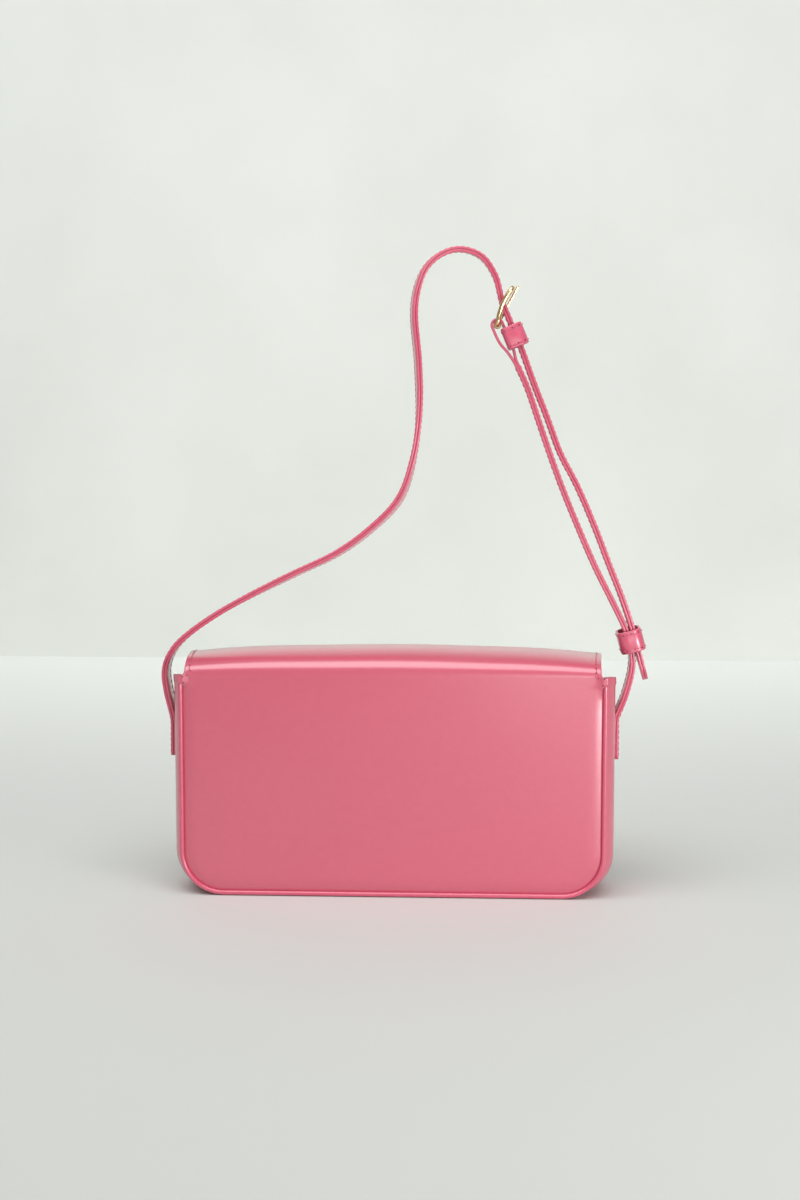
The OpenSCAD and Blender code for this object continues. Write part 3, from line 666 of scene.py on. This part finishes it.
gusset_face = strip_surface(GUSSET_HALF + 0.2 * MM, lambda share: 0 * share, HEM_STEP)
gusset = slab("gusset_leather", gusset_face, LEATHER_T, PINK, 0.6 * MM, flip=-1)
finish_piece(gusset, "pink_leather", "gusset", body="body")
gusset_grid = gusset_face(HEM_H - BINDING_SEAM)
gusset_normals = grid_normals(gusset_grid)
hem_lines = [(gusset_grid[row, 2:-2], -gusset_normals[row, 2:-2]) for row in (0, -1)]
hem_stitches = stitch_mesh("gusset_hem_stitches", hem_lines, STITCH_PITCH)
finish_piece(hem_stitches, "pink_edge", body="body")

# Linings
gusset_lining_face = strip_surface(LINING_HALF, lambda share: LEATHER_T + BOARD_T * share, 0)
gusset_lining = slab("gusset_lining_sheet", gusset_lining_face, CLOTH_FACE, LINING, CLOTH_EDGE, flip=-1)
finish_piece(gusset_lining, "lining", "lining_gusset", body="body")


def lining_surface(node, inner_y, facing):
    lo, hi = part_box(node)
    half, bottom, top = hi.x, lo.z, hi.z
    r = half - (SEAM_X - CORNER_R + PIPING_R)

    def surface(inset):
        corner = r * (1 - np.cos(np.radians(np.linspace(0, 90, 14))))
        z = np.concatenate([bottom + corner, np.linspace(bottom + r, top, 30)[1:]])
        z = z + inset * (1 - 2 * (z - bottom) / (top - bottom))
        rise = np.clip((z - bottom - inset) / (r - inset), 0, 1)
        width = half - r + (r - inset) * np.sqrt(1 - (1 - rise) ** 2)
        x = columns(width, FLAP_CORNER_R, 16)
        zz = z[:, None] * np.ones_like(x)
        fade = np.sin(math.pi * (zz - bottom) / (top - bottom))
        slack = 0.5 * MM * np.sin(x / half * 9) * np.sin(zz / top * 7) * fade
        return np.stack([-facing * x, facing * (inner_y - np.maximum(slack, 0)), zz], axis=2)
    return surface


for node, facing in (("lining_back", -1), ("lining_front", 1)):
    lo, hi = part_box(node)
    inner = min(abs(lo.y), abs(hi.y))
    face = lining_surface(node, inner + CLOTH_FACE, facing)
    sheet = slab(node + "_sheet", face, CLOTH_T, LINING, CLOTH_EDGE)
    finish_piece(drop_doubles(sheet), "lining", node, body="body")


# Inner pocket: a sheet that stands open at its top, with a bound edge
def pocket_surface(low, proud):
    def surface(inset):
        half = POCKET_HI.x - inset
        gape = POCKET_HI.y - POCKET_LO.y
        x = np.linspace(-half, half, 41)[None, :]
        z = np.linspace(low + inset, POCKET_HI.z - inset, 25)[:, None]
        rise = (z - POCKET_LO.z) / (POCKET_HI.z - POCKET_LO.z)
        belly = (gape - LINING_T) * (1 - (x / half) ** 2) * (0.35 + 0.65 * rise)
        y = POCKET_LO.y + CLOTH_FACE + proud + belly
        return np.stack([x * np.ones_like(z), y, z * np.ones_like(x)], axis=2)
    return surface


pocket_face = pocket_surface(POCKET_LO.z, 0)
pocket = slab("inner_pocket_sheet", pocket_face, CLOTH_T, LINING, CLOTH_EDGE, flip=-1)
finish_piece(pocket, "lining", "inner_pocket", body="body")
POCKET_BINDING_H = 8 * MM
binding_face = pocket_surface(POCKET_HI.z - POCKET_BINDING_H, 0.6 * MM)
binding = slab("pocket_binding", binding_face, 2.0 * MM, PINK, 0.5 * MM, flip=-1)
finish_piece(binding, "pink_leather", body="body")
binding_grid = binding_face(BINDING_SEAM)
binding_normals = grid_normals(binding_grid)
binding_line = (binding_grid[0], -binding_normals[0])
binding_stitches = stitch_mesh("pocket_binding_stitches", [binding_line], STITCH_PITCH)
finish_piece(binding_stitches, "pink_edge", body="body")


# Piping: a little thinner than its channel, so that it shows a crease on both sides
def tube_rings(path, radius_at, around=20):
    """Rings round a path that lies in an XZ plane."""
    path = np.asarray(path)
    course = np.gradient(path, axis=0)
    course /= np.linalg.norm(course, axis=1, keepdims=True)
    rings = []
    for i, (p, d) in enumerate(zip(path, course)):
        side = Vector((d[2], 0, -d[0]))
        rings.append([Vector(p) + radius_at(i) * (side * math.cos(t) + Vector((0, 1, 0)) * math.sin(t))
                      for t in np.linspace(0, 2 * math.pi, around + 1)[:-1]])
    return rings


def piping(name, node, y, top):
    r = CORNER_R - PIPING_R
    bend_z = PIPING_R + r
    end = 1.6 * MM
    rise = [top - end * (1 - math.cos(t)) for t in np.linspace(0, math.pi / 2, 6)]
    up = rise + list(np.linspace(rise[-1], bend_z, 26))[1:]
    right = [(SEAM_X, y, z) for z in up]
    bend = np.radians(np.linspace(0, 90, 25))[1:]
    right += [(SEAM_X - r + r * math.cos(t), y, bend_z - r * math.sin(t)) for t in bend]
    half = SEAM_X - r
    base = [(half * (1 - 2 * i / 24), y, PIPING_R) for i in range(1, 24)]
    left = [(-x, yy, z) for x, yy, z in reversed(right)]
    path = right + base + left
    n = len(path)

    def radius_at(i):
        k = min(i, n - 1 - i)
        return CORD_R * (math.sin(math.pi / 2 * max(k, 0.25) / 5) if k < 5 else 1)

    finish_piece(loft(name, tube_rings(path, radius_at), EDGE), "pink_edge", node, body="body")


piping("back_piping", "piping_back", -SEAM_Y, EAR_BOTTOM + 1.6 * MM)
piping("front_piping", "piping_front", SEAM_Y, FRONT_TOP - EAR_H + 1.6 * MM)


# Strap
def at_share(p):
    return np.array([p[0] * SPAN, LEAVE_Z + p[1] * STRAP_RISE])


def in_frame(share, lean, p):
    origin = at_share(share)
    return origin + np.array([math.cos(lean) * p[0] - math.sin(lean) * p[1],
                              math.sin(lean) * p[0] + math.cos(lean) * p[1]])


def at_keeper(p):
    return in_frame(KEEPER_SHARE, KEEPER_LEAN, p)


def at_slider(p):
    return in_frame(SLIDER_SHARE, SLIDER_LEAN, p)


def curve(points, steps):
    """A smooth curve through points."""
    points = np.asarray(points, float)
    n = len(points) - 1
    out = []
    for i in range(n):
        a, b, c, d = (points[k] for k in (max(i - 1, 0), i, i + 1, min(i + 2, n)))
        for f in np.arange(steps) / steps:
            out.append(0.5 * (2 * b + (c - a) * f + (2 * a - 5 * b + 4 * c - d) * f * f
                              + (3 * b - a - 3 * c + d) * f ** 3))
    out.append(points[-1])
    return np.array(out)


def courses(path):
    course = np.gradient(path, axis=0)
    return course / np.linalg.norm(course, axis=1, keepdims=True)


def outward(d):
    return np.array([-d[1], d[0]])


def run_lengths(path):
    return np.concatenate([[0], np.cumsum(np.linalg.norm(np.diff(path, axis=0), axis=1))])


def even_path(path, step):
    runs = run_lengths(path)
    stops = np.linspace(0, runs[-1], int(runs[-1] / step) + 1)
    return np.stack([np.interp(stops, runs, path[:, 0]), np.interp(stops, runs, path[:, 1])], axis=1)


SEAM_GROOVE = 0.12 * MM
SEAM_INSET = 2.2 * MM


def strip_section(half_w, low, high):
    """Section of a strip: corners rounded by edge paint and a shallow groove where the thread lies."""
    r = min(0.45 * MM, half_w / 3)
    groove = SEAM_GROOVE if half_w > 4 * MM else 0
    w = half_w
    seam = half_w - SEAM_INSET
    top = [(-w, high - r), (-w + 0.3 * r, high - 0.3 * r), (-w + r, high), (-seam - 0.7 * MM, high),
           (-seam, high - groove), (-seam + 0.7 * MM, high + 0.1 * groove), (0, high + groove)]
    top += [(-a, b) for a, b in reversed(top[:-1])]
    bottom = [(a, low + high - b) for a, b in reversed(top)]
    return top + bottom


def strip(name, path, low, high, half_at, twist_at, cup_at, material):
    """A strip of leather along a path in the XZ plane, between two distances from the path."""
    runs = run_lengths(path)
    total = runs[-1]
    rings = []
    for p, d, s in zip(path, courses(path), runs):
        n, t = outward(d), twist_at(s / total)
        across = Vector((n[0] * math.cos(t), math.sin(t), n[1] * math.cos(t)))
        wide = Vector((-n[0] * math.sin(t), math.cos(t), -n[1] * math.sin(t)))
        half_w = half_at(s, total)
        cup = cup_at(s, total)
        rings.append([Vector((p[0], 0, p[1])) + across * (h + cup * (w / (STRAP_W / 2)) ** 2) + wide * w
                      for w, h in strip_section(half_w, low, high)])
    return loft(name, rings, material)


def seam_lines(path, offset, twist_at, cup_at, start, end, sides=(-1, 1)):
    """Lines of stitches along a strip at a distance from its middle layer, with their normals."""
    runs = run_lengths(path)
    total = runs[-1]
    lines = []
    for side in sides:
        line, normals = [], []
        for p, d, s in zip(path, courses(path), runs):
            if not start <= s <= total - end:
                continue
            n, t = outward(d), twist_at(s / total)
            across = np.array([n[0] * math.cos(t), math.sin(t), n[1] * math.cos(t)])
            wide = np.array([-n[0] * math.sin(t), math.cos(t), -n[1] * math.sin(t)])
            w = side * (STRAP_W / 2 - SEAM_INSET)
            cup = cup_at(s, total) * (w / (STRAP_W / 2)) ** 2
            groove = -SEAM_GROOVE * (1 if offset > 0 else -1)
            line.append(np.array([p[0], 0, p[1]]) + across * (offset + cup + groove) + wide * w)
            normals.append(across * (1 if offset > 0 else -1))
        lines.append((np.array(line), np.array(normals)))
    return lines


keeper_steps = [KEEPER_H * k for k in (1.6, 0.8, 0, -0.8)]
slider_steps = [KEEPER_H * k for k in (0.7, 0, -0.7)] + [-(KEEPER_H + TAIL_L) / 2, -TAIL_L]
long_points = [(-SPAN, SEWN_BOTTOM), (-SPAN, SEWN_BOTTOM + SEWN_STRAIGHT)] + [at_share(p) for p in RISING]
long_points += [at_keeper((0, s)) for s in keeper_steps] + [at_share(p) for p in FALLING]
long_points += [at_slider((0, s)) for s in slider_steps]
long_path = even_path(curve(long_points, 12), 1.5 * MM)
SEWN_L = LEAVE_Z - SEWN_BOTTOM
long_l = run_lengths(long_path)[-1]
SEWN_END_R = 1.5 * MM


def rounded_end(d, r, half):
    """Half width near an end whose corners are rounded by r."""
    return half - r + r * math.sqrt(max(0.0, 1 - (1 - min(d / r, 1)) ** 2)) if d < r else half


def long_half(s, total):
    tip = rounded_end(total - s, 0.94 * STRAP_W / 2, STRAP_W / 2)
    return min(rounded_end(s, SEWN_END_R, STRAP_W / 2), tip)


def long_twist(share):
    free = (share * long_l - SEWN_L + STRAP_W / 2) / (long_l - SEWN_L + STRAP_W / 2)
    return math.radians(float(np.interp(free, *zip(*TWIST))))


CUP = 0.55 * MM


def sewn_cup(sign):
    """How far a strap's edges lean on the curved gusset where it is sewn, fading where it leaves."""
    return lambda s, total: sign * CUP * float(1 - ease((s - SEWN_L) / (16 * MM)))


STRAP_BEND = ("body", "strap", SWING_START, SWING_END)


def punch(obj, cutters):
    """Cuts pieces out of a mesh and keeps its material."""
    for cutter in cutters:
        modifier = obj.modifiers.new("cut", "BOOLEAN")
        modifier.operation = "DIFFERENCE"
        modifier.solver = "EXACT"
        modifier.object = cutter
    bpy.context.view_layer.update()
    mesh = bpy.data.meshes.new_from_object(obj.evaluated_get(bpy.context.evaluated_depsgraph_get()))
    obj.modifiers.clear()
    obj.data = mesh
    mesh.set_sharp_from_angle(angle=SHARP_ANGLE)
    for cutter in cutters:
        bpy.data.objects.remove(cutter)
    return obj


def cylinder(centre, axis, r, length):
    axis = Vector(axis).normalized()
    side = axis.cross(Vector((0, 1, 0))).normalized()
    across = axis.cross(side)
    rings = [[Vector(centre) + axis * h + r * (side * math.cos(a) + across * math.sin(a))
              for a in np.linspace(0, 2 * math.pi, 33)[:-1]] for h in (-length / 2, length / 2)]
    return loft("cutter", rings, EDGE)


HOLE_R = 1.9 * MM
HOLE_PITCH = 20 * MM
TONGUE_ANGLE = math.radians(50.9)
HOLE_TILT = math.radians(1.25)
heel = np.array([HEEL[0], HEEL[2]]) - at_keeper((0, 0))
heel_x = float(np.dot(heel, at_keeper((1, 0)) - at_keeper((0, 0))))
heel_z = float(np.dot(heel, at_keeper((0, 1)) - at_keeper((0, 0))))
hole_z = heel_z - heel_x / math.tan(TONGUE_ANGLE)


def hole_cutters():
    centre = at_keeper((0, hole_z))
    lean = TONGUE_ANGLE + HOLE_TILT
    tip = at_keeper((math.sin(lean), hole_z + math.cos(lean))) - centre
    cutters = [cylinder((centre[0], 0, centre[1]), (tip[0], 0, tip[1]), HOLE_R, 6 * STRAP_T)]
    runs = run_lengths(long_path)
    middle = runs[np.argmin(np.linalg.norm(long_path - centre, axis=1))]
    for k in (-2, -1, 1, 2):
        i = int(np.argmin(np.abs(runs - middle - k * HOLE_PITCH)))
        n = outward(courses(long_path)[i])
        cutters.append(cylinder((long_path[i][0], 0, long_path[i][1]), (n[0], 0, n[1]), HOLE_R, 2 * STRAP_T))
    return cutters


LAYER_GAP = 0.06 * MM
layers = (("long_strap_face", LAYER_GAP, STRAP_T / 2, STRAP_PINK, ("strap_face", "strap_end_left")),
          ("long_strap_backing", -STRAP_T / 2, -LAYER_GAP, EDGE, ("strap_backing",)))
for name, low, high, material, nodes in layers:
    layer = strip(name, long_path, low, high, long_half, long_twist, sewn_cup(-1), material)
    finish_piece(punch(layer, hole_cutters()), "pink_leather", *nodes, blend=STRAP_BEND)

for side, offset in (("face", STRAP_T / 2), ("backing", -STRAP_T / 2)):
    lines = seam_lines(long_path, offset, long_twist, sewn_cup(-1), 2 * MM, 9 * MM)
    stitches = stitch_mesh("long_strap_stitches_" + side, lines, STITCH_PITCH)
    finish_piece(stitches, "pink_edge", blend=STRAP_BEND)


# Buckle strap: one strip folded round the heel bar and sewn to itself
STRAND_GAP = 0.8 * MM
FOLD_T = STRAP_T / 2
KEEPER_BACK = -5.9 * MM
JOIN = (KEEPER_BACK - KEEPER_T / 2, -0.82 * KEEPER_H)
FOLD_R = 3.45 * MM


def beside(i):
    p = [at_keeper((0, keeper_steps[3]))] + [at_share(q) for q in FALLING] + [at_slider((0, slider_steps[0]))]
    d = p[i + 2] - p[i]
    return p[i + 1] - outward(d / np.linalg.norm(d)) * (STRAP_T + GAPS[i])


strand_points = [(SPAN, SEWN_BOTTOM), (SPAN, SEWN_BOTTOM + SEWN_STRAIGHT)]
strand_points += [at_share(p) for p in reversed(LANDING)]
strand_points += [at_slider((-STRAP_T - STRAND_GAP, f * KEEPER_H)) for f in (-0.65, 0, 0.65)]
strand_points += [beside(i) for i in range(len(FALLING) - 1, -1, -1)]
strand_points += [at_keeper(JOIN)]
strand = even_path(curve(strand_points, 12), 1.5 * MM)
inner_side = np.array([p + FOLD_T / 2 * outward(d) for p, d in zip(strand, courses(strand))])
outer_side = np.array([p - FOLD_T / 2 * outward(d) for p, d in zip(strand, courses(strand))])
fold_side = -KEEPER_BACK + KEEPER_T + FOLD_T / 2 + 0.4 * MM
fold_points = [(-fold_side, -KEEPER_H / 2 - 0.8 * MM), (heel_x - FOLD_R + 0.5 * MM, 0)]
fold_points += [(heel_x + FOLD_R * math.cos(math.radians(a)), heel_z + FOLD_R * math.sin(math.radians(a)))
                for a in range(190, -11, -25)]
fold_points += [(heel_x + FOLD_R, KEEPER_H / 2 - 1 * MM), (heel_x + FOLD_R, 0),
                (heel_x + FOLD_R, -KEEPER_H / 2 - 1.2 * MM)]
fold = [at_keeper(p) for p in fold_points]
trim = 3
picks = np.linspace(0, len(strand) - trim, 30).astype(int)
buckle_path = even_path(curve(list(inner_side[picks]) + fold + list(outer_side[picks[::-1]]), 10), 1.2 * MM)


def buckle_half(s, total):
    return rounded_end(min(s, total - s), SEWN_END_R, STRAP_W / 2)


def still(share):
    return 0.0


def buckle_cup(s, total):
    """The inner half leans on the gusset at the start of the strip, the outer half at its end."""
    near_start = 1 - ease((s - SEWN_L) / (16 * MM))
    near_end = 1 - ease((total - s - SEWN_L) / (16 * MM))
    return float(CUP * (near_start - near_end))


SLOT_W = 4.6 * MM
buckle_strap = strip("buckle_strap_folded", buckle_path, -FOLD_T / 2 + LAYER_GAP / 2,
                     FOLD_T / 2 - LAYER_GAP / 2, buckle_half, still, buckle_cup, STRAP_PINK)
slot_cutter = cylinder(HEEL, (0, 1, 0.0001), FOLD_R + FOLD_T, SLOT_W)
punch(buckle_strap, [slot_cutter])
finish_piece(buckle_strap, "pink_leather", "buckle_strap", "strap_end_right", blend=STRAP_BEND)
strand_lines = seam_lines(strand, STRAP_T / 2, still, sewn_cup(1), 2 * MM, 4 * MM)
strand_lines += seam_lines(strand, -STRAP_T / 2, still, sewn_cup(1), 2 * MM, 4 * MM)
finish_piece(stitch_mesh("buckle_strap_stitches", strand_lines, STITCH_PITCH), "pink_edge", blend=STRAP_BEND)


# Keepers
def loop_path(x0, x1, half, r0, r1):
    """The middle line of a keeper's wall, square to the strap, as points and outward directions."""
    corners = [(x1 - r1, half - r1, r1, 0), (x0 + r0, half - r0, r0, 90),
               (x0 + r0, -half + r0, r0, 180), (x1 - r1, -half + r1, r1, 270)]
    path = []
    for k, (cx, cy, r, start) in enumerate(corners):
        for a in np.radians(np.linspace(start, start + 90, 9)):
            path.append((cx + r * math.cos(a), cy + r * math.sin(a), math.cos(a), math.sin(a)))
        nx, ny, nr, nstart = corners[(k + 1) % 4]
        b = math.radians(nstart)
        end = (nx + nr * math.cos(b), ny + nr * math.sin(b))
        last = path[-1]
        for f in np.linspace(0, 1, 8)[1:-1]:
            path.append((last[0] + (end[0] - last[0]) * f, last[1] + (end[1] - last[1]) * f,
                         last[2], last[3]))
    return path


def keeper(name, node, share, lean, body):
    """A loop of leather with rolled rims, sewn along both."""
    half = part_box(node)[1].y - KEEPER_T / 2
    x0, x1, r0, r1 = KEEPER_ENDS[node]
    path = loop_path(x0 - KEEPER_T / 2, x1 + KEEPER_T / 2, half, r0 + KEEPER_T / 2, r1 + KEEPER_T / 2)
    rim = 0.5 * MM
    h, t = KEEPER_H / 2, KEEPER_T / 2
    swell = 0.15 * MM
    section = [(-t, h - rim), (-t + 0.3 * rim, h - 0.3 * rim), (-t + rim, h), (t - rim, h),
               (t - 0.3 * rim, h - 0.3 * rim), (t, h - rim), (t + 0.2 * swell, h - 1.4 * MM),
               (t - 0.5 * swell, h - 2 * MM), (t + 0.5 * swell, h - 2.6 * MM), (t + swell, 0)]
    section += [(a, -b) for a, b in reversed(section[:-1])] + [(-t, 0)]

    def placed(x, y, z):
        p = in_frame(share, lean, (x, z))
        return Vector((p[0], y, p[1]))

    rings = [[placed(x + nx * o, y + ny * o, z) for o, z in section] for x, y, nx, ny in path]
    finish_piece(loft(name, rings, STRAP_PINK, closed=True), "pink_leather", node, body=body)
    lines = []
    for side in (-1, 1):
        line = [placed(x + nx * t, y + ny * t, side * (h - 2 * MM)) for x, y, nx, ny in path + path[:1]]
        normals = [placed(nx, ny, 0) - placed(0, 0, 0) for x, y, nx, ny in path + path[:1]]
        lines.append((np.array(line), np.array(normals)))
    finish_piece(stitch_mesh(name + "_stitches", lines, KEEPER_PITCH), "pink_edge", body=body)


KEEPER_ENDS = {"keeper_fixed": (KEEPER_BACK, 4.5 * MM, 1.2 * MM, 4.4 * MM),
               "keeper_sliding": (-8.8 * MM, 3.6 * MM, 4.4 * MM, 4.4 * MM)}
keeper("fixed_keeper", "keeper_fixed", KEEPER_SHARE, KEEPER_LEAN, "strap")
keeper("sliding_keeper", "keeper_sliding", SLIDER_SHARE, SLIDER_LEAN, "keeper")

# Metal and boards keep their CAD shapes
METAL = ("buckle_frame", "buckle_tongue", "snap_socket", "snap_socket_washer", "snap_stud",
         "snap_stud_washer")
BOARDS = ("back_board", "front_board", "base_board")
for names, material in ((METAL, GOLD), (BOARDS, BOARD)):
    for node in names:
        frame["nodes"][node].data.materials.clear()
        frame["nodes"][node].data.materials.append(material)


# Floor and wall
def plane(name, corners, material):
    obj = build(name, corners, [(0, 1, 2, 3)], material)


FLOOR_X = 4.0
WALL_Y = 1.08
FLOOR_FRONT = -2.5
WALL_H = 3.0
# The floor's darker near, paler far colour ramp is painted shade, not a change in the paint
FLOOR_PAINTED_SHADE = ground_with_painted_shade("floor_painted_shade", (0.54, 0.555, 0.53), (0.835, 0.85, 0.83), -0.7, 1.0)
WALL_PAINT = plain("wall_paint", (0.735, 0.755, 0.715), (0.785, 0.805, 0.765), 0.8, 5)
far_left, far_right = (-FLOOR_X, WALL_Y, 0), (FLOOR_X, WALL_Y, 0)
plane("floor", [(-FLOOR_X, FLOOR_FRONT, 0), (FLOOR_X, FLOOR_FRONT, 0), far_right, far_left], FLOOR_PAINTED_SHADE)
plane("wall", [far_left, far_right, (FLOOR_X, WALL_Y, WALL_H), (-FLOOR_X, WALL_Y, WALL_H)], WALL_PAINT)


# Lights. The first three light the bag, and the last one, with a narrow spread, the wall alone.
def softbox(name, place, target, width, height, power_w, spread=180):
    light = bpy.data.lights.new(name, "AREA")
    light.shape = "RECTANGLE"
    light.size = width
    light.size_y = height
    light.energy = power_w
    light.spread = math.radians(spread)
    obj = bpy.data.objects.new(name, light)
    obj.location = place
    obj.rotation_euler = (Vector(target) - Vector(place)).to_track_quat("-Z", "Y").to_euler()
    obj.visible_camera = False
    bpy.context.scene.collection.objects.link(obj)


BAG_MIDDLE = (0, 0, 0.15)
softbox("overhead_softbox", (-0.1, -0.6, 1.35), BAG_MIDDLE, width=1.7, height=1.1, power_w=18)
softbox("right_softbox", (0.75, -0.75, 0.12), (0.1, 0, 0.08), width=0.26, height=0.2, power_w=4.6)
softbox("right_card", (0.35, -1.45, 0.13), BAG_MIDDLE, width=0.5, height=0.26, power_w=1.5)
softbox("wall_softbox", (0, 0.45, 1.7), (0, WALL_Y, 0.3), width=2.6, height=0.4, power_w=2.9, spread=70)
WORLD_COLOR = (0.93, 0.96, 0.95, 1)
WORLD_STRENGTH = 0.34
world = bpy.data.worlds.new("studio")
world.use_nodes = True
world.node_tree.nodes["Background"].inputs["Color"].default_value = WORLD_COLOR
world.node_tree.nodes["Background"].inputs["Strength"].default_value = WORLD_STRENGTH
bpy.context.scene.world = world

# Camera
CAMERA_PLACE = (0.0628, -1.1984, 0.313)
CAMERA_TARGET = (0.0038, 0, 0.1861)
PICTURE_H = 1200
FOCAL_PIXELS = 1896.6
SENSOR = 36
camera_data = bpy.data.cameras.new("camera")
camera_data.sensor_fit = "VERTICAL"
camera_data.sensor_height = SENSOR
camera_data.lens = SENSOR * FOCAL_PIXELS / PICTURE_H
camera = bpy.data.objects.new("camera", camera_data)
camera.location = CAMERA_PLACE
camera.rotation_euler = (Vector(CAMERA_TARGET) - Vector(CAMERA_PLACE)).to_track_quat("-Z", "Y").to_euler()
bpy.context.scene.collection.objects.link(camera)
bpy.context.scene.camera = camera
bpy.context.scene.view_settings.view_transform = "Standard"
